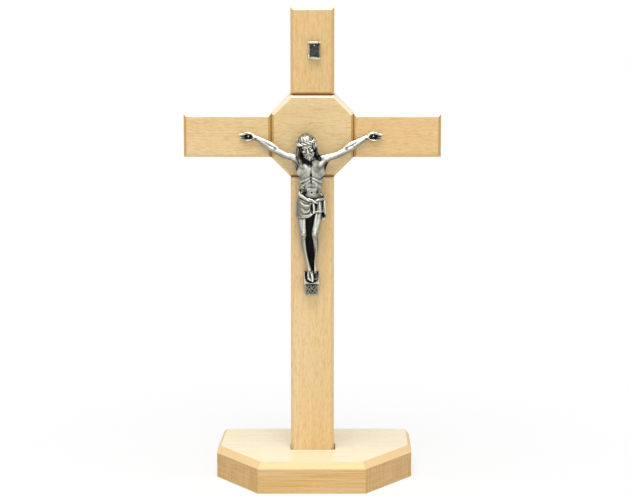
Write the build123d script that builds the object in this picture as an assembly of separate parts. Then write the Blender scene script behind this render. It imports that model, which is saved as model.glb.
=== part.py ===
"""Standing crucifix: five pieces of wood butted into a cross, a slotted base, a cast figure and a scroll.

Millimetres. +Z is up, the figure faces -Y, and the origin is the middle of the base's underside.
"""

import os

from build123d import *

# Wooden cross
beam_width = 27.0
beam_thickness = 14.0
arm_length = 54.0
octagon_width = 51.0
post_height = 175.0
front_chamfer = 1.75
back_chamfer = 0.8

# Wooden base
base_width = 123.5
base_front_width = 67.0
base_depth = 84.3
base_right_cut_depth = 39.3
base_left_cut_depth = 37.9
base_back_cut = 1.4
base_back_cut_depth = 6.7
base_right_lean = 0.3
base_left_lean = 3.2
base_offset = 0.87
base_front_offset = -0.66
base_height = 19.5
base_bevel = 3.8
base_edge_break = 2.0
post_setback = -2.9

# Slot in the base for the foot of the long beam
slot_depth = 14.0
slot_play = 0.35
slot_side_play = 0.95
slot_corner_radius = 0.8

# Dowels between the sticks and the centre block
dowel_radius = 3.0
dowel_length = 24.0
dowel_spacing = 13.0
dowel_end_chamfer = 0.8

# Nails
nail_radius = 0.45
nail_head_radius = 0.85
nail_head_height = 0.55
nail_grip = 7.0
nail_point_length = 1.2

# Cast figure
figure_height = 95.0
figure_span = 88.2
figure_depth = 13.5
chest_width = 18.0
figure_offset = -0.9
hand_length = 9.8
hand_width = 5.2
hand_thickness = 2.2
footrest_width = 9.3
footrest_block_width = 7.7

# Cast scroll
scroll_width = 7.8
scroll_height = 11.6
scroll_thickness = 1.1
scroll_roll_radius = 1.2
scroll_roll_bore = 0.55
scroll_offset = 1.2

# Fits and tool overrun
clearance = 0.05
overrun = 1.0

# Places that follow from the sizes
cross_z = base_height + post_height + octagon_width / 2
face_y = post_setback - beam_thickness / 2
slot_floor_z = base_height - slot_depth
slot_x = (slot_side_play - slot_play) / 2
joint_turns = {"upper": 0, "right": 90, "lower": 180, "left": 270}


def rod(start, direction, radius, length):
    """Round rod from a point along a direction."""
    standing = (Align.CENTER, Align.CENTER, Align.MIN)
    return Plane(origin=start, z_dir=direction) * Cylinder(radius, length, align=standing)


# Sticks, centre block and dowels


def stick(length):
    """Stick standing on its lower end, its front edges chamfered and its back edges eased."""
    bar = Box(beam_width, beam_thickness, length, align=(Align.CENTER, Align.CENTER, Align.MIN))
    bar = chamfer(bar.faces().sort_by(Axis.Y)[0].edges(), front_chamfer)
    return chamfer(bar.faces().sort_by(Axis.Y)[-1].edges(), back_chamfer)


def at_joint(shape, turn):
    """Put a shape that stands on the top side of the centre block on the side at the given turn."""
    return Pos(0, post_setback, cross_z) * Rot(0, turn, 0) * Pos(0, 0, octagon_width / 2) * shape


def dowel_pair(pin, turn):
    """The two places of one pin at a joint."""
    return [at_joint(Pos(side * dowel_spacing / 2, 0, 0) * pin, turn) for side in (-1, 1)]


def dowels(turn):
    """The dowels of one joint, their ends chamfered."""
    pin = Cylinder(dowel_radius, dowel_length)
    pin = chamfer(pin.edges().filter_by(GeomType.CIRCLE), dowel_end_chamfer)
    return Compound(children=dowel_pair(pin, turn))


def dowel_holes(turn):
    """Holes for the dowels of one joint."""
    first, second = dowel_pair(Cylinder(dowel_radius + clearance, dowel_length + 2 * clearance), turn)
    return first + second


def centre_octagon():
    """Centre block: each straight side is as wide as the stick that is butted against it."""
    half = octagon_width / 2
    flat = beam_width / 2
    corners = [(flat, half), (half, flat), (half, -flat), (flat, -half)]
    corners = corners + [(-x, z) for x, z in reversed(corners)]
    block = extrude(Plane.XZ * make_face(Polyline(*corners, close=True)), beam_thickness / 2, both=True)
    block = chamfer(block.faces().sort_by(Axis.Y)[0].edges(), front_chamfer)
    block = chamfer(block.faces().sort_by(Axis.Y)[-1].edges(), back_chamfer)
    block = Pos(0, post_setback, cross_z) * block
    for turn in joint_turns.values():
        block -= dowel_holes(turn)
    return block


def joined_stick(length, turn):
    """Stick butted against one side of the centre block, bored for its dowels."""
    return at_joint(stick(length), turn) - dowel_holes(turn)


# Base


def base_block():
    """Base: a block with slanted front corners and leaning sides, bevelled along its top edges."""
    right = base_offset + base_width / 2
    left = base_offset - base_width / 2
    front_y = -base_depth / 2
    rear_y = base_depth / 2
    corners = [
        (base_front_offset + base_front_width / 2, front_y),
        (right, front_y + base_right_cut_depth),
        (right - base_right_lean, rear_y - base_back_cut_depth),
        (right - base_back_cut, rear_y),
        (left + base_left_lean, rear_y),
        (left, front_y + base_left_cut_depth),
        (base_front_offset - base_front_width / 2, front_y),
    ]
    block = extrude(make_face(Polyline(*corners, close=True)), base_height)
    bevels = [base_bevel] + 4 * [base_edge_break] + 2 * [base_bevel]
    for index, size in enumerate(bevels):
        start = Vector(*corners[index])
        end = Vector(*corners[(index + 1) % len(corners)])
        block -= edge_wedge(start, end, size)
    slot = RectangleRounded(
        beam_width + slot_play + slot_side_play, beam_thickness + 2 * slot_play, slot_corner_radius
    )
    block -= extrude(Pos(0, post_setback, slot_floor_z) * slot, slot_depth + overrun)
    return Pos(slot_x, 0, 0) * block


def edge_wedge(start, end, size):
    """Wedge that takes a 45 degree bevel off one top edge of the base, past both ends of the edge."""
    middle = (start + end) / 2 + Vector(0, 0, base_height)
    plane = Plane(origin=middle, x_dir=(0, 0, 1), z_dir=end - start)
    reach = size + overrun
    wedge = make_face(Polyline((overrun, -reach), (overrun, reach), (-reach, overrun), close=True))
    return extrude(plane * wedge, base_width, both=True)


# Nails


def nail(x, head_y, z):
    """Round nail with a domed head, driven from the front until its grip is in the wood."""
    tip_y = face_y + nail_grip
    outline = Polyline(
        (0, head_y - nail_head_height),
        (0, tip_y),
        (nail_radius, tip_y - nail_point_length),
        (nail_radius, head_y),
        (nail_head_radius, head_y),
    )
    dome_radius = (nail_head_radius**2 + nail_head_height**2) / (2 * nail_head_height)
    dome = RadiusArc((nail_head_radius, head_y), (0, head_y - nail_head_height), dome_radius)
    return Pos(x, 0, z) * revolve(make_face(outline + dome), Axis.Y)


def nail_hole(x, head_y, z):
    """Hole for a nail: a bore for its shank and a flat seat for its head."""
    bore_length = face_y + nail_grip + clearance - head_y
    bore = rod((x, head_y, z), (0, 1, 0), nail_radius + clearance, bore_length)
    return bore + rod((x, head_y, z), (0, -1, 0), nail_head_radius + clearance, figure_depth)


# Scroll
scroll_rise_share = 0.512
scroll_nail_share = 0.26
scroll_z = cross_z + octagon_width / 2 + scroll_rise_share * arm_length
scroll_nail_place = (scroll_offset, face_y - scroll_thickness, scroll_z + scroll_nail_share * scroll_height)


def titulus_scroll():
    """Scroll: a thin plate whose ends are rolled forward, with a shallow bore in the ends of the rolls."""
    plate_height = scroll_height - 2 * scroll_roll_radius
    roll_length = scroll_width + scroll_roll_radius
    plate = Box(scroll_width, scroll_thickness, plate_height, align=(Align.CENTER, Align.MAX, Align.CENTER))
    for end in (-1, 1):
        roll = Rot(0, 90, 0) * Cylinder(scroll_roll_radius, roll_length)
        for side in (-1, 1):
            roll -= rod((side * roll_length / 2, 0, 0), (-side, 0, 0), scroll_roll_bore, scroll_roll_radius)
        plate += Pos(0, -scroll_roll_radius, end * plate_height / 2) * roll
    return Pos(scroll_offset, face_y, scroll_z) * plate - nail_hole(*scroll_nail_place)


# Figure: forms through oval sections, placed by shares of the figure's sizes


def figure_point(x_share, rise_share, depth_share):
    """Point of the figure: across by the chest, up from the arms' middle by the height, out by the depth."""
    return Vector(
        figure_offset + x_share * chest_width,
        face_y - depth_share * figure_depth,
        cross_z + rise_share * figure_height,
    )


def tube(points, widths, depths):
    """Tapered form through oval sections square to the line of the points."""
    sections = []
    last = len(points) - 1
    for index, point in enumerate(points):
        along = points[min(index + 1, last)] - points[max(index - 1, 0)]
        plane = Plane(origin=point, x_dir=(0, 1, 0), z_dir=along)
        sections.append(plane * Ellipse(depths[index], widths[index]))
    return loft(sections)


def form(shares):
    """Part of the figure from rows of x, rise, depth, half width and half depth shares."""
    points = [figure_point(x, rise, depth) for x, rise, depth, _, _ in shares]
    return tube(points, [row[3] * chest_width for row in shares], [row[4] * chest_width for row in shares])


def egg(centre, half_sizes):
    """Ball stretched to three half sizes."""
    return Pos(*centre) * scale(Sphere(1), by=tuple(half_sizes))


# Body: x, rise, depth, half width and half depth shares
torso_shares = [
    (0.000, -0.116, 0.407, 0.256, 0.133),
    (0.011, -0.158, 0.407, 0.461, 0.194),
    (0.028, -0.200, 0.430, 0.494, 0.233),
    (0.039, -0.242, 0.430, 0.450, 0.231),
    (0.033, -0.284, 0.415, 0.400, 0.206),
    (0.022, -0.326, 0.385, 0.344, 0.178),
    (0.011, -0.368, 0.385, 0.356, 0.178),
    (0.011, -0.411, 0.393, 0.400, 0.194),
    (0.017, -0.453, 0.407, 0.422, 0.200),
]
neck_shares = [
    (-0.078, -0.084, 0.607, 0.167, 0.167),
    (-0.033, -0.132, 0.489, 0.161, 0.161),
    (0.000, -0.174, 0.415, 0.178, 0.178),
]
left_lock_shares = [
    (-0.278, -0.032, 0.563, 0.072, 0.072),
    (-0.367, -0.079, 0.578, 0.083, 0.083),
    (-0.356, -0.132, 0.622, 0.072, 0.072),
    (-0.272, -0.184, 0.585, 0.050, 0.050),
]
right_lock_shares = [
    (0.122, -0.037, 0.548, 0.067, 0.067),
    (0.200, -0.079, 0.489, 0.078, 0.078),
    (0.233, -0.116, 0.444, 0.067, 0.067),
    (0.222, -0.153, 0.400, 0.050, 0.050),
]
left_leg_shares = [
    (-0.200, -0.442, 0.407, 0.144, 0.144),
    (-0.256, -0.495, 0.437, 0.167, 0.167),
    (-0.278, -0.547, 0.519, 0.147, 0.150),
    (-0.244, -0.600, 0.607, 0.133, 0.133),
    (-0.219, -0.653, 0.622, 0.106, 0.108),
    (-0.206, -0.705, 0.541, 0.092, 0.100),
    (-0.167, -0.758, 0.474, 0.079, 0.083),
    (-0.089, -0.811, 0.422, 0.067, 0.072),
    (-0.022, -0.863, 0.415, 0.075, 0.072),
    (0.006, -0.916, 0.452, 0.108, 0.061),
    (0.022, -0.963, 0.519, 0.089, 0.033),
]
right_leg_shares = [
    (0.211, -0.442, 0.407, 0.144, 0.144),
    (0.256, -0.495, 0.437, 0.167, 0.167),
    (0.228, -0.547, 0.526, 0.144, 0.150),
    (0.172, -0.600, 0.615, 0.136, 0.133),
    (0.150, -0.653, 0.622, 0.111, 0.108),
    (0.172, -0.705, 0.511, 0.094, 0.100),
    (0.164, -0.758, 0.407, 0.075, 0.078),
    (0.133, -0.811, 0.319, 0.064, 0.067),
    (0.139, -0.863, 0.289, 0.072, 0.069),
    (0.183, -0.911, 0.326, 0.089, 0.058),
    (0.211, -0.953, 0.393, 0.072, 0.033),
]
leg_web_shares = [
    (0.000, -0.470, 0.385, 0.230, 0.045),
    (-0.030, -0.570, 0.460, 0.230, 0.045),
    (-0.030, -0.670, 0.470, 0.185, 0.045),
    (0.004, -0.770, 0.360, 0.155, 0.045),
    (0.062, -0.870, 0.320, 0.080, 0.045),
]
cloth_shares = [
    (0.011, -0.353, 0.400, 0.406, 0.228),
    (0.017, -0.408, 0.407, 0.467, 0.250),
    (0.017, -0.464, 0.430, 0.500, 0.267),
    (0.022, -0.521, 0.459, 0.511, 0.272),
]
cloth_tail_shares = [
    (0.411, -0.405, 0.637, 0.067, 0.050),
    (0.444, -0.463, 0.644, 0.072, 0.050),
    (0.444, -0.516, 0.622, 0.072, 0.044),
    (0.400, -0.545, 0.593, 0.039, 0.028),
]
knot_place_shares = (0.178, -0.419, 0.715)
knot_size_shares = (0.13, 0.09, 0.10)
foot_nail_place = tuple(figure_point(0.0, -0.893, 0.526))

# Arm: share of the way from shoulder to wrist, then rise, depth and radius shares
shoulder_share = 0.333
wrist_share = 0.97
arm_shares = [
    (0.000, -0.154, 0.400, 0.128),
    (0.126, -0.136, 0.378, 0.136),
    (0.241, -0.123, 0.348, 0.119),
    (0.350, -0.113, 0.319, 0.119),
    (0.455, -0.097, 0.296, 0.122),
    (0.559, -0.080, 0.267, 0.136),
    (0.664, -0.062, 0.237, 0.139),
    (0.780, -0.041, 0.200, 0.114),
    (0.892, -0.018, 0.163, 0.097),
    (1.000, -0.001, 0.126, 0.078),
]

# Hand: reach, rise, depth, half width and half depth shares of the hand's sizes
palm_shares = [
    (0.00, 0.00, 0.55, 0.23, 0.20),
    (0.22, 0.02, 0.45, 0.38, 0.21),
    (0.48, 0.04, 0.40, 0.46, 0.21),
    (0.66, 0.05, 0.40, 0.43, 0.18),
]
finger_shares = [
    [(0.60, -0.29, 0.40, 0.105, 0.105), (0.88, -0.30, 0.55, 0.08, 0.08)],
    [(0.60, -0.06, 0.40, 0.115, 0.115), (0.97, -0.07, 0.55, 0.08, 0.08)],
    [(0.60, 0.17, 0.40, 0.115, 0.115), (1.00, 0.16, 0.55, 0.08, 0.08)],
    [(0.60, 0.39, 0.40, 0.110, 0.110), (0.94, 0.38, 0.55, 0.08, 0.08)],
    [(0.10, 0.28, 0.55, 0.16, 0.16), (0.40, 0.55, 0.75, 0.15, 0.15), (0.66, 0.60, 0.85, 0.10, 0.10)],
]
palm_nail_share = 0.44
palm_seat_share = 0.72
palm_x = figure_span / 2 - (1 - palm_nail_share) * hand_length

# Head: places and half sizes as shares of the chest, about the middle of the skull
head_place_shares = (-0.150, -0.034, 0.62)
head_nod = 18
head_lean = -10
head_egg_shares = [
    ((0, 0, 0), (0.235, 0.275, 0.345)),
    ((0, 0.065, 0.035), (0.305, 0.290, 0.335)),
    ((0, -0.150, -0.300), (0.150, 0.130, 0.165)),
    ((0, -0.275, -0.035), (0.038, 0.060, 0.085)),
]
wreath_rise_share = 0.135
wreath_radius_share = 0.285
wreath_rod_share = 0.045

# Footrest: rise and depth shares of its side, the sloping plate first and the block under it after
footrest_offset_share = 0.042
plate_side_shares = [(-0.895, 0.0), (-0.895, 0.193), (-0.968, 0.444), (-0.968, 0.0)]
block_side_shares = [(-0.968, 0.0), (-0.968, 0.444), (-1.048, 0.356), (-1.048, 0.0)]


def hand_form(shares):
    """Part of the left hand, from the wrist towards the fingertips."""
    points = []
    for reach, rise, depth, _, _ in shares:
        x = figure_offset - figure_span / 2 + (1 - reach) * hand_length
        points.append(Vector(x, face_y - depth * hand_thickness, cross_z + rise * hand_width))
    return tube(points, [row[3] * hand_width for row in shares], [row[4] * hand_width for row in shares])


def arm_and_hand():
    """Left arm of the figure from inside the shoulder to the fingertips."""
    shoulder_x = shoulder_share * chest_width
    wrist_x = figure_span / 2 - wrist_share * hand_length
    points = []
    for along, rise, depth, _ in arm_shares:
        point = figure_point(0, rise, depth)
        point.X = figure_offset - shoulder_x - along * (wrist_x - shoulder_x)
        points.append(point)
    radii = [row[3] * chest_width for row in arm_shares]
    arm = tube(points, radii, radii) + hand_form(palm_shares)
    for shares in finger_shares:
        arm += hand_form(shares)
    return arm


def head():
    """Head with hair, beard and a plain wreath, nodding forward and leaning to one side."""
    forms = []
    for place, sizes in head_egg_shares:
        forms.append(egg([share * chest_width for share in place], [share * chest_width for share in sizes]))
    wreath = Torus(wreath_radius_share * chest_width, wreath_rod_share * chest_width)
    forms.append(Pos(0, 0, wreath_rise_share * chest_width) * wreath)
    joined = forms[0]
    for shape in forms[1:]:
        joined += shape
    return Pos(figure_point(*head_place_shares)) * Rot(head_nod, head_lean, 0) * joined


def footrest_form(side_shares, width):
    """Part of the footrest: its side drawn out to its width."""
    side = [figure_point(0, rise, depth) for rise, depth in side_shares]
    outline = Polyline(*[(point.Y, point.Z) for point in side], close=True)
    middle = Plane.YZ.offset(figure_offset + footrest_offset_share * chest_width)
    return extrude(middle * make_face(outline), width / 2, both=True)


def palm_nail_place(side):
    """Place of a hand's nail: the middle of the palm, under the nail's head."""
    return (figure_offset + side * palm_x, face_y - palm_seat_share * hand_thickness, cross_z)


def corpus():
    """Cast figure in one piece, flat behind the hands and the footrest where it lies on the wood."""
    arm = arm_and_hand()
    figure = form(torso_shares) + arm + mirror(arm, Plane.YZ.offset(figure_offset))
    legs = (left_leg_shares, right_leg_shares, leg_web_shares)
    for shares in (neck_shares, cloth_shares, *legs, cloth_tail_shares):
        figure += form(shares)
    figure += egg(figure_point(*knot_place_shares), [share * chest_width for share in knot_size_shares])
    figure += head()
    figure += form(left_lock_shares)
    figure += form(right_lock_shares)
    figure += footrest_form(plate_side_shares, footrest_width)
    figure += footrest_form(block_side_shares, footrest_block_width)
    behind = Box(
        2 * figure_span, figure_depth, 3 * figure_height, align=(Align.CENTER, Align.MIN, Align.CENTER)
    )
    figure -= Pos(0, face_y, cross_z) * behind
    for place in (palm_nail_place(-1), palm_nail_place(1), foot_nail_place):
        figure -= nail_hole(*place)
    return figure


parts = {
    "base_block": base_block(),
    "lower_beam": joined_stick(post_height + slot_depth, joint_turns["lower"]) - nail_hole(*foot_nail_place),
    "upper_arm": joined_stick(arm_length, joint_turns["upper"]) - nail_hole(*scroll_nail_place),
    "left_arm": joined_stick(arm_length, joint_turns["left"]) - nail_hole(*palm_nail_place(-1)),
    "right_arm": joined_stick(arm_length, joint_turns["right"]) - nail_hole(*palm_nail_place(1)),
    "centre_octagon": centre_octagon(),
    "corpus": corpus(),
    "titulus_scroll": titulus_scroll(),
    "titulus_nail": nail(*scroll_nail_place),
    "left_hand_nail": nail(*palm_nail_place(-1)),
    "right_hand_nail": nail(*palm_nail_place(1)),
    "foot_nail": nail(*foot_nail_place),
}
for name, turn in joint_turns.items():
    parts[name + "_dowels"] = dowels(turn)

os.makedirs("parts", exist_ok=True)
for name, shape in parts.items():
    export_step(shape, os.path.join("parts", name + ".step"))
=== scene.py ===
"""Standing crucifix of beech, with a figure and a small scroll cast in antique silver."""

import math

import bpy
import numpy as np
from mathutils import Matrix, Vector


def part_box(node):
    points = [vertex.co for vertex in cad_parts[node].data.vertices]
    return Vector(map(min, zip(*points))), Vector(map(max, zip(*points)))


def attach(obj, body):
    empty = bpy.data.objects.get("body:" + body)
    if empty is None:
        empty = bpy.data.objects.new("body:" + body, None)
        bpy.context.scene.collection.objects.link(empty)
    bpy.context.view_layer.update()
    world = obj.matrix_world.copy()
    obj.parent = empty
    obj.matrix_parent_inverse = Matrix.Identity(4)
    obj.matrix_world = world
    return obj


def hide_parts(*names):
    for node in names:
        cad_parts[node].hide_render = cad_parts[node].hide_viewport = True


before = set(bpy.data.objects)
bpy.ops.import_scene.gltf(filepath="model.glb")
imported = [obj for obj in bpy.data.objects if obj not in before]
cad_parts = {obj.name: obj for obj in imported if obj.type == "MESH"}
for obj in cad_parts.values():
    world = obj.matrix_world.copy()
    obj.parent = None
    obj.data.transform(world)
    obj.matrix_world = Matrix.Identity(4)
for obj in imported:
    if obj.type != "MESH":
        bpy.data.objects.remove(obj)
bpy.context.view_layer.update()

# Base block
# One thick piece of beech with its grain across the front, bevelled along its top edges and varnished satin.
# The slot cut into its top takes the foot of the long beam.


class Tone:
    """Number on a surface: arithmetic on it adds Math nodes to the finish that it belongs to."""

    def __init__(self, finish, socket):
        self.finish = finish
        self.socket = socket

    def math(self, operation, first, second):
        """Math node of two numbers, one of which may be plain."""
        return self.finish.add("ShaderNodeMath", {"operation": operation}, {0: first, 1: second})

    def __add__(self, other):
        return self.math("ADD", self, other)

    def __sub__(self, other):
        return self.math("SUBTRACT", self, other)

    def __rsub__(self, other):
        return self.math("SUBTRACT", other, self)

    def __mul__(self, other):
        return self.math("MULTIPLY", self, other)

    __radd__ = __add__
    __rmul__ = __mul__


class Finish:
    """Finish of a material or of the world in the making: add() is the one way a node comes into it."""

    def __init__(self, owner):
        owner.use_nodes = True
        self.owner = owner
        self.tree = owner.node_tree
        self.tree.nodes.clear()

    def add(self, kind, settings=None, sockets=None, output=0):
        """Add a node, set it up, fill or link its sockets, and give the wanted output."""
        node = self.tree.nodes.new(kind)
        for name, value in (settings or {}).items():
            setattr(node, name, value)
        for name, value in (sockets or {}).items():
            if isinstance(value, Tone):
                self.tree.links.new(value.socket, node.inputs[name])
            else:
                node.inputs[name].default_value = value
        return Tone(self, node.outputs[output]) if node.outputs else None

    def stretched(self, scale, shift=(0, 0, 0)):
        """Place on the piece, shifted and scaled along each axis."""
        place = self.add("ShaderNodeTexCoord", output="Object")
        return self.add("ShaderNodeMapping", None, {"Vector": place, "Location": shift, "Scale": scale})

    def noise(self, vector, detail=2.0, roughness=0.5):
        """Cloudy number about one half."""
        sockets = {"Vector": vector, "Scale": 1.0, "Detail": detail, "Roughness": roughness}
        return self.add("ShaderNodeTexNoise", None, sockets)

    def rise(self, value, low, high):
        """Smooth step from 0 at low to 1 at high."""
        sockets = {"Value": value, "From Min": low, "From Max": high}
        return self.add("ShaderNodeMapRange", {"interpolation_type": "SMOOTHSTEP"}, sockets)

    def mix(self, factor, first, second):
        """Colour from first to second by the factor."""
        settings = {"data_type": "RGBA"}
        return self.add("ShaderNodeMix", settings, {0: factor, 6: first, 7: second}, output=2)

    def bump(self, height, distance):
        """Surface normal raised by a height, over a distance in metres."""
        return self.add("ShaderNodeBump", None, {"Height": height, "Strength": 1.0, "Distance": distance})

    def close(self, sockets):
        """End the finish in one surface shader."""
        surface = self.add("ShaderNodeBsdfPrincipled", None, sockets)
        self.add("ShaderNodeOutputMaterial", None, {"Surface": surface})
        return self.owner


def colour(red, green, blue):
    """Screen colour in 0 to 255 as the linear colour of a shader."""
    screen = np.array([red, green, blue]) / 255
    linear = np.where(screen <= 0.04045, screen / 12.92, ((screen + 0.055) / 1.055) ** 2.4)
    return (*linear.tolist(), 1.0)


across_axis, depth_axis, up_axis = 0, 1, 2


def beech(
    name, grain, pale, warm, shift, joints=(), edge=colour(255, 252, 242),
    figured=1.3, painted_top_light=0.65, painted_front_shade_amount=0.0, varnish=0.3,
):
    """Varnished beech whose grain runs along one axis.

    Cloud patterns are drawn out along the grain: broad bands of warmer wood, fine streaks, and the short dark
    rays and flecks that mark beech. Where the surface cuts across the grain it is browner, with fine crossing
    lines, and less brown where it looks up, which is painted light. Faces and bevels that look up take the
    edge colour, painted light from the lamp above. The front may be given painted shade, streaked with the
    grain. The chamfers at a joint, which is an axis and the place of its plane, darken towards a thin dark
    joint line; the brown band beside it is painted shade, mostly on chamfers that face down, and painted
    shade also makes the line darker where they face down."""
    finish = Finish(bpy.data.materials.new(name))
    groove_half, joint_half = 0.0017, 0.0006

    def pattern(along, across, detail):
        """Cloud with so many waves to the metre along and across the grain."""
        waves = [across, across, across]
        waves[grain] = along
        return finish.noise(finish.stretched(waves, shift), detail)

    def facing(axis):
        """How far the surface faces along an axis."""
        direction = [float(i == axis) for i in range(3)]
        sockets = {0: finish.add("ShaderNodeTexCoord", output="Normal"), 1: direction}
        return finish.add("ShaderNodeVectorMath", {"operation": "DOT_PRODUCT"}, sockets, "Value")

    bands = finish.rise(pattern(4.0, 95.0, 3.0), 0.3, 0.72)
    streaks = finish.rise(pattern(22.0, 1100.0, 4.0), 0.3, 0.75)
    rays = finish.rise(pattern(360.0, 1900.0, 1.0), 0.5, 0.7)
    flecks = finish.rise(pattern(150.0, 950.0, 2.0), 0.5, 0.68)
    level_lines = finish.noise(finish.stretched((60.0, 60.0, 1300.0), shift), 2.0)
    upright_lines = finish.noise(finish.stretched((900.0, 900.0, 45.0), shift), 2.0)
    mottle = finish.rise(level_lines + upright_lines, 0.8, 1.25)
    across_grain = facing(grain)
    end_grain = finish.rise(across_grain * across_grain, 0.2, 0.7)
    # How far the surface looks up: lit and shaded steer the painted light and painted shade below
    up = facing(up_axis)
    lit = finish.rise(up, 0.15, 0.6)
    shaded = finish.rise(0 - up, 0.15, 0.6)
    top = finish.rise(up, 0.75, 0.95)
    bevel = finish.rise(up, 0.3, 0.5) * (1 - finish.rise(up, 0.75, 0.9))
    depthwise = facing(depth_axis)
    front = depthwise * depthwise
    chamfer = finish.rise(front, 0.12, 0.3) * (1 - finish.rise(front, 0.6, 0.85))
    # End grain browned, but less where it looks up: painted light
    end_brown_with_painted_light = end_grain * (0.65 + 0.2 * mottle) * (1 - (0.3 + painted_top_light) * lit)
    # Bevels and chamfers that look up take the edge colour: painted light from the lamp above
    painted_edge_light = bevel * finish.rise(up, 0.3, 0.7) * (0.55 + 0.25 * chamfer)
    # Front faces darkened, streaked with the grain: painted shade
    painted_front_shade = painted_front_shade_amount * finish.rise(front, 0.9, 0.98) * (0.77 + 0.36 * streaks)
    wood = finish.mix(0.7 * bands, pale, warm)
    wood = finish.mix(0.2 * figured * streaks, wood, colour(207, 164, 104))
    wood = finish.mix(figured * rays * (0.2 - 0.14 * end_grain), wood, colour(184, 136, 82))
    wood = finish.mix(figured * flecks * (0.26 - 0.2 * end_grain), wood, colour(200, 148, 84))
    wood = finish.mix(end_brown_with_painted_light, wood, colour(194, 138, 2))
    # Up-facing bevels and top faces take the edge colour: painted light from the lamp above
    wood = finish.mix(painted_edge_light, wood, edge)
    wood = finish.mix(painted_top_light * top, wood, edge)
    # Painted shade on the front
    wood = finish.mix(painted_front_shade, wood, colour(202, 144, 4))
    place = finish.add("ShaderNodeTexCoord", output="Object")
    for axis, plane in joints:
        along = finish.add("ShaderNodeSeparateXYZ", None, {0: place}, output=axis)
        apart = (along - plane) * (along - plane)
        painted_groove_shade = chamfer * (1 - finish.rise(apart, 0.0, groove_half**2))
        joint = chamfer * (1 - finish.rise(apart, 0.0, joint_half**2))
        # Brown band along the joint: painted shade, mostly on chamfers that face down
        wood = finish.mix(painted_groove_shade * (0.75 * shaded + 0.22 * lit), wood, colour(182, 114, 22))
        # Dark joint line, made darker on chamfers that face down by painted shade
        wood = finish.mix(joint * (0.62 + 0.33 * shaded + 0.25 * lit), wood, colour(104, 56, 12))
    return finish.close({
        "Base Color": wood,
        "Roughness": 0.42 + 0.1 * streaks + 0.12 * end_grain,
        "IOR": 1.46,
        "Coat Weight": varnish * (1 - 0.6 * end_grain) + 0.1 * bands,
        "Coat Roughness": 0.3,
        "Normal": finish.bump(streaks - rays, 0.00003),
    })


sanded_radius = 0.0003
weld_reach = 0.000006
sharp_edge = math.radians(25)


def soften(node):
    """Round the sharp edges of a wooden piece as sanding does: corners are welded, then bevelled."""
    weld = node.modifiers.new("weld", "WELD")
    weld.merge_threshold = weld_reach
    rounding = node.modifiers.new("sanded_edges", "BEVEL")
    rounding.width = sanded_radius
    rounding.segments = 3
    rounding.limit_method = "ANGLE"
    rounding.angle_limit = sharp_edge


def dress(node_name, material):
    """Give a piece of the frame its finish."""
    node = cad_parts[node_name]
    node.data.materials.clear()
    node.data.materials.append(material)
    return node


# The base's up-facing bevels take a deeper edge colour, painted light, and its front gets painted shade
# streaked with the grain
base_wood = beech(
    "beech_base", across_axis, colour(255, 244, 212), colour(252, 232, 188), (0.31, 0.07, 0.02),
    edge=colour(236, 188, 106), figured=0.5, painted_top_light=0.0, painted_front_shade_amount=0.75, varnish=0.35,
)
soften(dress("base_block", base_wood))

# Long beam and upper arm
# Straight sticks of beech with the grain along them, their front edges chamfered by the same cutter.
# The beam stands loose in the slot of the base; the upper arm is doweled and glued to the centre block.
centre_low, centre_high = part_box("centre_octagon")
beam_top = (up_axis, centre_low.z)
upper_foot = (up_axis, centre_high.z)
# Its chamfers that look up take a warm cream edge colour: painted light
beam_wood = beech(
    "beech_long_beam", up_axis, colour(241, 212, 157), colour(233, 196, 133), (0.02, 0.4, 0.11),
    [beam_top], edge=colour(255, 232, 184), figured=1.0,
)
upper_wood = beech(
    "beech_upper_arm", up_axis, colour(227, 194, 133), colour(218, 178, 111), (0.61, 0.23, 0.43),
    [upper_foot],
)
soften(dress("lower_beam", beam_wood))
soften(dress("upper_arm", upper_wood))

# Side arms
# Two sticks like the upper arm, lying level, each cut from another part of the plank.
# Their inner ends are doweled and glued to the centre block.
left_end = (across_axis, centre_low.x)
right_end = (across_axis, centre_high.x)
left_wood = beech(
    "beech_left_arm", across_axis, colour(236, 207, 154), colour(228, 193, 134), (0.15, 0.52, 0.3),
    [left_end],
)
right_wood = beech(
    "beech_right_arm", across_axis, colour(235, 202, 144), colour(225, 185, 120), (0.77, 0.35, 0.68),
    [right_end],
)
soften(dress("left_arm", left_wood))
soften(dress("right_arm", right_wood))

# Centre block
# An eight-sided block of paler beech with level grain, its front edges chamfered like those of the sticks.
# Each stick is butted against one of its straight sides.
centre_wood = beech(
    "beech_centre", across_axis, colour(234, 209, 155), colour(226, 196, 136), (0.9, 0.81, 0.14),
    [beam_top, upper_foot, left_end, right_end],
)
soften(dress("centre_octagon", centre_wood))

# Dowels
# Plain round pins of bare beech, two to a joint.
# They are glued half into a stick and half into the centre block, and are hidden in the finished cross.
dowel_wood = beech("beech_dowels", up_axis, colour(222, 186, 130), colour(206, 164, 106), (0.44, 0.6, 0.92))
for joint_name in ("upper", "lower", "left", "right"):
    dress(joint_name + "_dowels", dowel_wood)

# Cast figure
# One casting with its loincloth, wreath and footrest, plated, blackened and rubbed bright where raised.
# It lies on the wood at the hands and at the footrest, where its nails hold it.
millimetre = 0.001
grid_step = 0.2
far_off = 5.0
tiny = 1e-6
trunk_squareness = 2.4


def smooth_path(rows, steps):
    """Catmull-Rom curve through rows of numbers, with the given number of steps between two rows.

    Between two rows runs the cubic whose slope at each of them is half the step between its neighbours."""
    rows = np.asarray(rows, float)
    ends = np.vstack([2 * rows[0] - rows[1], rows, 2 * rows[-1] - rows[-2]])
    before, start, end, after = ends[:-3], ends[1:-2], ends[2:-1], ends[3:]
    t = np.arange(steps)[:, None, None] / steps
    curve = 2 * start + (end - before) * t + (2 * before - 5 * start + 4 * end - after) * t**2
    curve = (curve + (3 * start - before - 3 * end + after) * t**3) / 2
    return np.vstack([curve.transpose(1, 0, 2).reshape(-1, rows.shape[1]), rows[-1]])


def length_of(parts):
    """Length of a vector from arrays of its parts."""
    return np.sqrt(sum(part * part for part in parts))


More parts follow.
